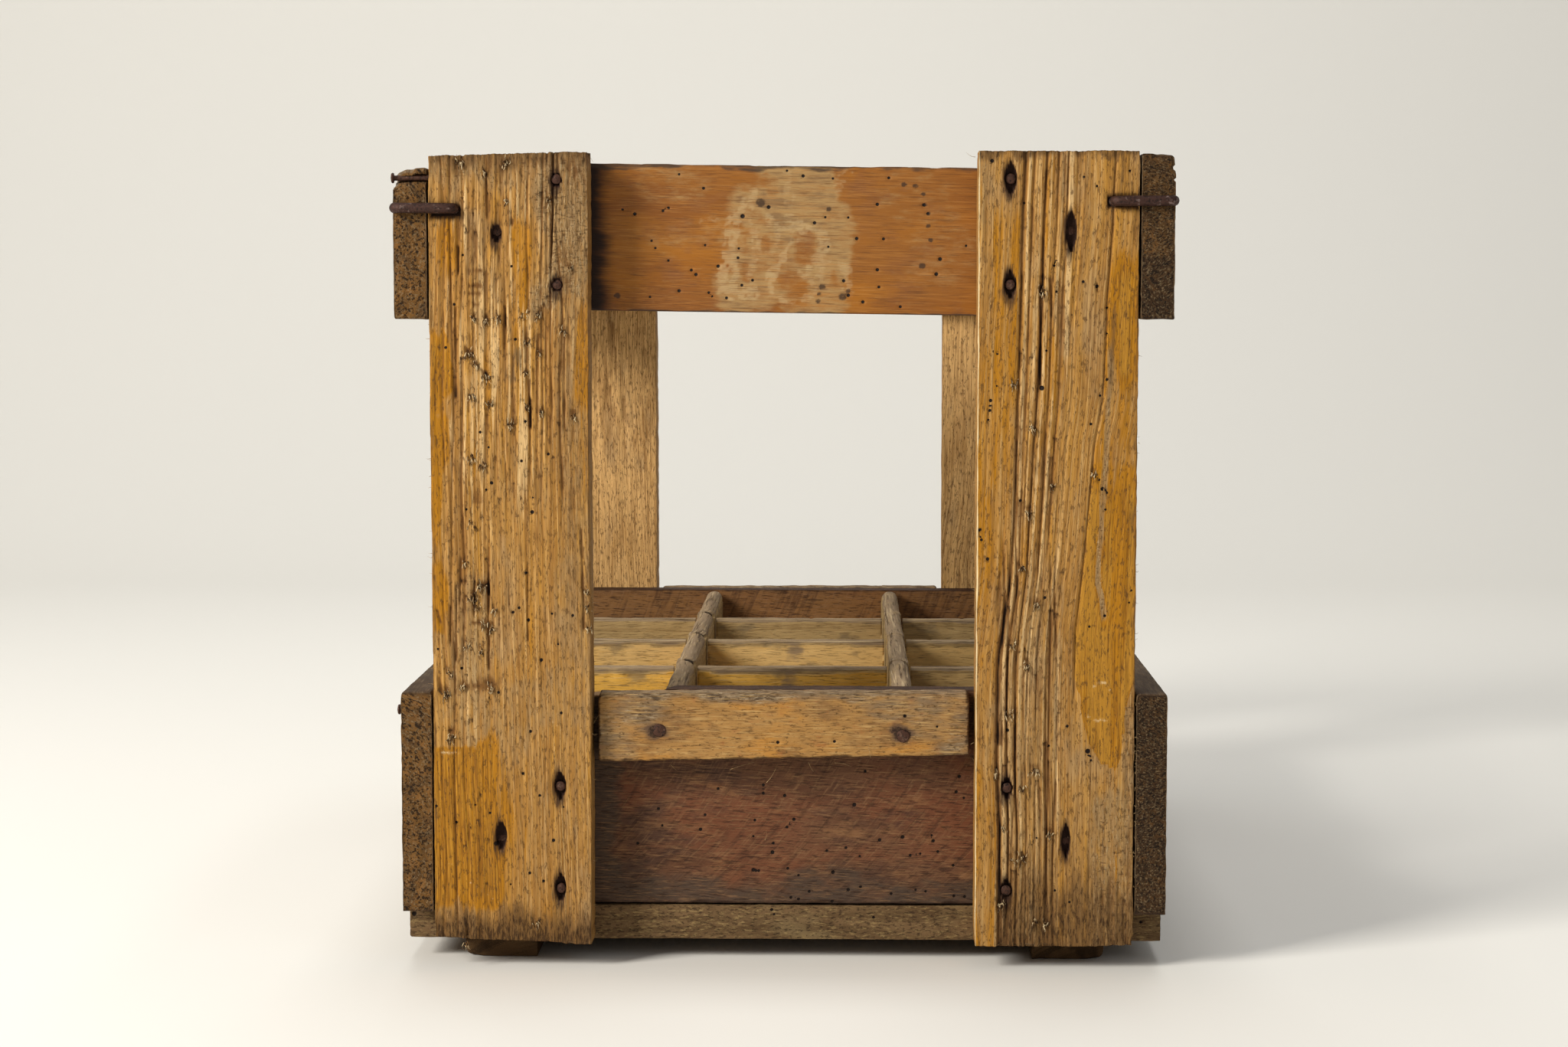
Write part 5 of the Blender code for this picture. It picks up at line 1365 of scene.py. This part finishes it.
# Upper side rails. A rail runs along each long side at the top, outside the posts. The left one has lost
# its outer arris and split at the front, where its nail shows in the split.
RAIL_ROUND_MM = {"left": 6.4, "right": 2.6}
RAIL_SPLIT_MM = 4.6
RAIL_SPLIT_HALF_MM = 1.5
RAIL_NICKS_UP_MM = (62.5, 57.5)
RAIL_NICK_DEPTH_MM = 0.9
RAIL_NAILS_MM = (290, 311)
for side, outer in (("left", "low"), ("right", "high")):
    rail = Timber(f"{side}_upper_rail", "Y", "Z", outer, (2.8, 0.9, 0.85))
    a, b, c = rail.flat.T
    length, height, thickness = rail.size
    corner = smooth(height - 9, height - 7, b) * smooth(thickness - 4, thickness - 6.5, c)
    rail.soften(0.6 + 0.3 * cloud(251, a / 12, b / 6, c / 4) + corner * (RAIL_ROUND_MM[side] - 0.7))
    rail.grow((20, -40) if side == "left" else (50, -30), 252 if side == "left" else 255, lean=0.015)
    rough_end = rail.ends() * (0.3 + 0.3 * cloud(253, b / 1.1, c / 0.9) + 0.25 * cloud(254, b / 3, c / 3))
    relief = (0.22 + 0.14 * cloud(256, rail.grain[:, 0] / 2.2, a / 80) + 0.08 * cloud(257, a / 4, b / 1.5)
              + rough_end)
    relief = relief + 0.5 * corner * (0.5 + 0.5 * cloud(258, a / 9, b / 3, c / 3))
    rail.carve(relief)
    if side == "left":
        nail_at = centre_mm("left_rail_nail", "Z") - rail.start[1]
        split = smooth(RAIL_SPLIT_HALF_MM + 0.4, RAIL_SPLIT_HALF_MM - 0.3, np.abs(b - nail_at))
        rail.points[:, 0] += RAIL_SPLIT_MM * split * np.clip(1 - a / 24, 0, 1)
        # Painted shade: the rim mark darkens the inside of the split.
        rail.marks["rim"] = split * smooth(8, 2, a)
    else:
        upper, lower = RAIL_NICKS_UP_MM
        nick = smooth(1.2, 0.4, np.abs(b - upper)) + smooth(1.0, 0.3, np.abs(b - lower))
        rail.points[:, 2] += RAIL_NICK_DEPTH_MM * nick * smooth(14, 2, a) * smooth(1.5, 0.2, c)
        rail.marks["rim"] = smooth(2.5, 0.2, np.minimum(b, height - b))
    rail.marks["shade"] = (0.15 if side == "left" else 0.75 + 0.3 * smooth(30, 23, b)) * rail.ends()
    nails = [(y, z) for y in (-POST_NAIL_MM, POST_NAIL_MM) for z in RAIL_NAILS_MM]
    if side == "left":
        nails.remove((-POST_NAIL_MM, RAIL_NAILS_MM[1]))
    rail.marks["iron"] = stained_heads(rail, side, rail.start[2], nails)
    rail.bore(scattered(rail, 40, 261 if side == "left" else 271))
    rail.place(f"{side}_top_rail", handled_board, "grey_brown_board")

# Corner wires. A thick iron wire is bent round each corner from the post's front into the rail's outer
# side, and hammered down into the wood. Rust has turned it brown-black, and only its ridge still glints.
RUST_GRIT_MM = 1.1
RUST_BLOOM_MM = 3.5
RUST_PITS_MM = 0.22


def rusted(name, ground, glint, crust):
    """A finish of rusty iron: a brown ground, rubbed to a glint in patches, with flakes of dark crust."""
    finish, tree, shader = material(name)
    place = add(tree, "ShaderNodeTexCoord", {}).outputs["Object"]
    grit, bloom = (
        add(tree, "ShaderNodeTexNoise", {
            "Vector": place, "Scale": 1000 / size, "Detail": 4, "Roughness": 0.6,
        }).outputs["Fac"] for size in (RUST_GRIT_MM, RUST_BLOOM_MM)
    )
    rubbed = add(tree, "ShaderNodeMapRange", {"Value": bloom, "From Min": 0.56, "From Max": 0.66})
    flaked = add(tree, "ShaderNodeMapRange", {"Value": grit, "From Min": 0.5, "From Max": 0.66})
    brown = add(tree, "ShaderNodeMix", {0: rubbed.outputs[0], 6: linear(ground), 7: linear(glint)},
                data_type="RGBA")
    dark = add(tree, "ShaderNodeMix", {0: flaked.outputs[0], 6: brown.outputs[2], 7: linear(crust)},
               data_type="RGBA")
    dull = add(tree, "ShaderNodeMapRange", {
        "Value": bloom, "From Min": 0.5, "From Max": 0.68, "To Min": 0.62, "To Max": 0.34,
    })
    bumps = add(tree, "ShaderNodeMath", {0: grit, 1: -RUST_PITS_MM}, operation="MULTIPLY")
    relief = add(tree, "ShaderNodeBump", {"Height": bumps.outputs[0], "Strength": 1.0, "Distance": 0.001})
    feed(shader, {
        "Base Color": dark.outputs[2], "Metallic": 0.55, "Roughness": dull.outputs[0],
        "Normal": relief.outputs["Normal"],
    })
    return finish


rusted_wire = rusted("drawn iron wire, rust brown", "#432A22", "#857068", "#20120D")
rusted_nail = rusted("forged iron nail, rust crust", "#4C3023", "#6E5344", "#1E120C")


def rod(path, radii, sides, dome=0.0):
    """A closed round rod along a path: a box grid whose square section is drawn out to a disc, so that a
    point at angle t and reach r of its section lies r times the radius from the path. Both ends may bulge
    by the dome."""
    square = np.linspace(-1, 1, sides)
    points, quads = block([square, square, np.arange(float(len(path)))])
    reach = np.max(np.abs(points[:, :2]), axis=1)
    angle = np.arctan2(points[:, 1], points[:, 0])
    step = points[:, 2].astype(int)
    ahead = np.gradient(path, axis=0)
    ahead /= np.linalg.norm(ahead, axis=1, keepdims=True)
    up = np.array([0.0, 0.0, 1.0]) if abs(ahead[0, 2]) < 0.9 else np.array([0.0, 1.0, 0.0])
    aside = np.cross(up, ahead)
    aside /= np.linalg.norm(aside, axis=1, keepdims=True)
    above = np.cross(ahead, aside)
    spread = (radii[step] * reach)[:, None]
    bulge = dome * (1 - reach**2) * ((step == len(path) - 1) * 1.0 - (step == 0) * 1.0)
    turned = np.cos(angle)[:, None] * aside[step] + np.sin(angle)[:, None] * above[step]
    return path[step] + spread * turned + bulge[:, None] * ahead[step], quads


def rounded_path(corners, radius, count):
    """A path through straight runs with round bends: the corners' polyline, spaced evenly, smoothed by a
    moving average as long as the bend."""
    corners = np.array(corners)
    runs = np.linalg.norm(np.diff(corners, axis=0), axis=1)
    along = np.concatenate([[0], np.cumsum(runs)])
    places = np.linspace(0, along[-1], count)
    path = np.stack([np.interp(places, along, corners[:, axis]) for axis in range(3)], axis=1)
    window = max(3, int(radius * 1.6 / (places[1] - places[0])) | 1)
    padded = np.concatenate([np.repeat(path[:1], window // 2, axis=0), path,
                             np.repeat(path[-1:], window // 2, axis=0)])
    return np.stack([np.convolve(padded[:, axis], np.ones(window) / window, "valid") for axis in range(3)],
                    axis=1)


WIRE_BEND_MM = 3.8
WIRE_POST_LEG_MM = 12.5
WIRE_RAIL_LEG_MM = 9.5
for end in ("front", "back"):
    for side in ("left", "right"):
        node = f"{end}_{side}_corner_wire"
        low, high = box_mm(node)
        radius = (high[2] - low[2]) / 2
        level = (high[2] + low[2]) / 2
        outside, inside = (low[0] + radius, high[0] - radius)[:: 1 if side == "left" else -1]
        face, reach = (low[1] + radius, high[1] - radius)[:: 1 if end == "front" else -1]
        into_post = face + math.copysign(WIRE_POST_LEG_MM, reach - face)
        into_rail = outside + math.copysign(WIRE_RAIL_LEG_MM, inside - outside)
        path = rounded_path([
            (inside, into_post, level), (inside, face, level), (outside, face, level),
            (outside, reach, level), (into_rail, reach, level),
        ], WIRE_BEND_MM, 110)
        number = np.arange(len(path))
        path[:, 2] += 0.25 * cloud(281, number / 18, number * 0)
        gauge = (radius - 0.12) * (1 + 0.05 * cloud(282, number / 5, number * 0) - 0.04)
        points, quads = rod(path, gauge, sides=5)
        put(node.replace("wire", "staple"), points / 1000, quads, {}, rusted_wire, [node])

# Nails. Cut nails with flat hammered heads, rusted dark. Most heads have pulled down into the wood. One
# stands proud of the left side board, and one lies bare in the left rail's split.
NAIL_SHANK_RADIUS_MM = 1.2
NAIL_HEAD_THICKNESS_MM = 1.3
# The head's radii from its top down, as shares of the widest.
NAIL_HEAD_SHARES = np.array([0.72, 0.86, 0.98, 0.95])
NAIL_SUNK_MM = 1.6
for node in sorted(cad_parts):
    if "nail" not in node.split("_"):
        continue
    low, high = box_mm(node)
    axis = int(np.argmax(high - low))
    middle = (low + high) / 2
    head_low = axis == 0 or node.startswith("front")
    sunk = NAIL_SUNK_MM if node.endswith("nail_2") else 0
    length = high[axis] - low[axis]
    head = min(high[other] - low[other] for other in range(3) if other != axis) / 2
    below_head = NAIL_HEAD_THICKNESS_MM + 0.3
    # The rings of the nail, from its top down: the head, its underside, the shank and the tip.
    down = sunk + np.array([
        0.35, 0.36, 0.7, NAIL_HEAD_THICKNESS_MM, below_head, 4, 12, length - 5 - sunk, length - 0.1 - sunk,
    ])
    spread = np.concatenate([head * NAIL_HEAD_SHARES, [NAIL_SHANK_RADIUS_MM] * 4, [0.5]])
    path = np.tile(middle, (len(down), 1))
    path[:, axis] = low[axis] + down if head_low else high[axis] - down
    points, quads = rod(path, spread, sides=9, dome=0.3)
    seed = sum(ord(letter) for letter in node)
    around = points - middle
    around[:, axis] = 0
    depth = np.abs(points[:, axis] - (low[axis] if head_low else high[axis]))
    uneven = 1 + 0.07 * cloud(seed, points[:, 0] / 1.7, points[:, 1] / 1.7, points[:, 2] / 1.7) - 0.07
    near_head = depth < 2.5
    points[near_head] += ((uneven - 1)[:, None] * around)[near_head]
    put(f"iron_{node}", points / 1000, quads, {}, rusted_nail, [node])

# Flush nail heads. Cut nails driven flush hold the side boards to the posts, the end boards and the
# dividers, the rails to the posts, and the slats to the runners. Only their rusted heads show, on the boards
# and rails in the stain that they have bled.
SLAT_NAIL_FROM_MIDDLE_MM = 17
# The heads' radii at four depths below the face, the last of them a little above it.
FLUSH_HEAD_RADII_MM = 2.5 * np.array([0.9, 1.0, 0.96, 0.84])
FLUSH_HEAD_DOWN_MM = np.array([1.4, 0.5, 0.15, -0.05])


def gathered(parts):
    """One set of points and quads from many parts, put one after the other."""
    first = np.cumsum([0] + [len(points) for points, quads in parts])
    return (np.concatenate([points for points, quads in parts]),
            np.concatenate([quads + before for (points, quads), before in zip(parts, first)]))


def flush_head(place, out):
    """A low domed head at a place on a face that looks along the unit vector out."""
    path = np.array(place) - FLUSH_HEAD_DOWN_MM[:, None] * np.array(out)
    return rod(path, FLUSH_HEAD_RADII_MM, sides=7, dome=0.2)


for number in range(1, 6):
    slat = f"bottom_slat_{number}"
    for skid in ("left_runner", "right_runner"):
        for away in (-SLAT_NAIL_FROM_MIDDLE_MM, SLAT_NAIL_FROM_MIDDLE_MM):
            place = (centre_mm(skid, "X"), centre_mm(slat, "Y") + away, box_mm(slat)[1][2])
            flush_heads.append((place, (0, 0, 1)))
points, quads = gathered([flush_head(*spot) for spot in flush_heads])
put("flush_nail_heads", points / 1000, quads, {}, rusted_nail, [])

# Torn fibres. Where strands have broken off the front posts, their ends stand up in small dark curled
# tufts. Fine pale hairs of wood stick out along the sawn edges and hang under the batten.
STRAND_STEPS = 6
torn_strand = wood("broken pine strands, dirty", "#6E4E2A", [
    Layer("#2C1B0D", 0.9, 0.42, 0.55, (1, 3), detail=2),
    Layer("#D6C096", 0.88, 0.48, 0.6, (1, 4), detail=2),
], rough=0.9)
pale_hair = wood("fine pine hairs, bleached", "#B0936A", [
    Layer("#7C6443", 0.8, 0.42, 0.6, (1, 3), detail=2),
], rough=0.9)


def put_strands(name, finish, starts, ends, bows, radii):
    """Puts tapering rods from starts to ends in millimetres into the scene, as one piece. Each bows by its
    own vector times sin(πt) as t runs from 0 to 1, and thins to a fifth of its radius."""
    t = np.linspace(0, 1, STRAND_STEPS)
    parts = []
    for start, end, bow, radius in zip(starts, ends, bows, radii):
        path = start + t[:, None] * (end - start) + np.sin(math.pi * t)[:, None] * bow
        parts.append(rod(path, radius * (1 - 0.8 * t), sides=3))
    points, quads = gathered(parts)
    each = np.repeat(np.arange(len(parts)), [len(part[0]) for part in parts])
    grain = np.stack([each * 1.7, points[:, 2], points[:, 0]], axis=1)
    marks = {"grain": grain, "hole": np.full((len(points), 3), HOLE_FAR)}
    put(name, points / 1000, quads, marks, finish, [])


tufts = np.array([(*seen(u, v, 0), half) for side in ("left", "right") for u, v, half in TUFTS[side]])
each = np.repeat(np.arange(len(tufts)), np.round(3 + 3.5 * tufts[:, 2]).astype(int))
count = len(each)
aside, up, falls, drop, out_x, out_y = chance(
    301, count, (-1, 1), (-0.9, 0.9), (0, 1), (0.9, 2.9), (-1, 1), (-1.5, -0.3),
).T
x, z, half = tufts[each].T
starts = np.stack([x + half * aside, np.full(count, -POST_FACE_MM + 0.7), z + up], axis=1)
fall = np.where(falls < 0.7, -1, 1) * drop * (0.6 + 0.35 * half)
ends = starts + np.stack([out_x, out_y, fall], axis=1)
bows = chance(307, count, (-0.7, 0.7), (-1.1, 0), (-0.6, 0.6))
put_strands("torn_tufts", torn_strand, starts, ends, bows, chance(310, count, (0.17, 0.42))[:, 0])

HAIR_RADIUS_MM = 0.11
# Single hairs: how far behind the posts' faces, then both ends in pixels of the photograph.
SINGLE_HAIRS = (
    (14, (766, 202), (775, 212)), (14, (1274, 205), (1262, 199)), (12, (953, 1005), (986, 995)),
    (13, (1001, 1022), (1015, 998)), (13, (1056, 995), (1063, 1008)), (11, (1090, 996), (1112, 1001)),
    (12, (876, 998), (884, 1006)), (8, (775, 945), (783, 932)), (6, (1137, 989), (1134, 972)),
    (17, (999, 1097), (1001, 1085)), (14, (1270, 990), (1277, 1003)), (5, (740, 905), (748, 897)),
)
# Hairs along the posts' side edges: the edge's x, which way they point, the lowest, the highest, how many.
EDGE_HAIRS = ((-147.2, -1, 25, 335, 42), (147.2, 1, 110, 270, 16), (-80.6, 1, 20, 270, 14),
              (80.6, -1, 20, 335, 12))
FOOT_HAIRS = 60
edge_hairs = []
for number, (edge, way, low, high, total) in enumerate(EDGE_HAIRS):
    seed = 320 + 10 * number
    starts = np.insert(chance(seed, total, (-219.2, -205), (low, high)), 0, edge, axis=1)
    ends = starts + chance(seed + 2, total, (0.7 * way, 2.3 * way), (-0.2, 0.2), (-0.8, 0.8))
    edge_hairs.append((starts, ends))
starts = np.insert(chance(361, FOOT_HAIRS, (147.2, 149.4), (30, 116)), 1, -219.3, axis=1)
ends = starts + chance(363, FOOT_HAIRS, (-0.9, 0.9), (-0.9, -0.3), (-1.2, 1.2))
edge_hairs.append((starts, ends))
single = np.array([[(x, behind - POST_FACE_MM, z) for x, z in (seen(*first, behind), seen(*last, behind))]
                   for behind, first, last in SINGLE_HAIRS])
edge_hairs.append((single[:, 0], single[:, 1]))
starts, ends = (np.concatenate([pair[which] for pair in edge_hairs]) for which in (0, 1))
count = len(starts)
bows = chance(371, count, (-0.5, 0.5), (-0.3, 0), (-0.6, 0.6))
put_strands("edge_hairs", pale_hair, starts, ends, bows, np.full(count, HAIR_RADIUS_MM))
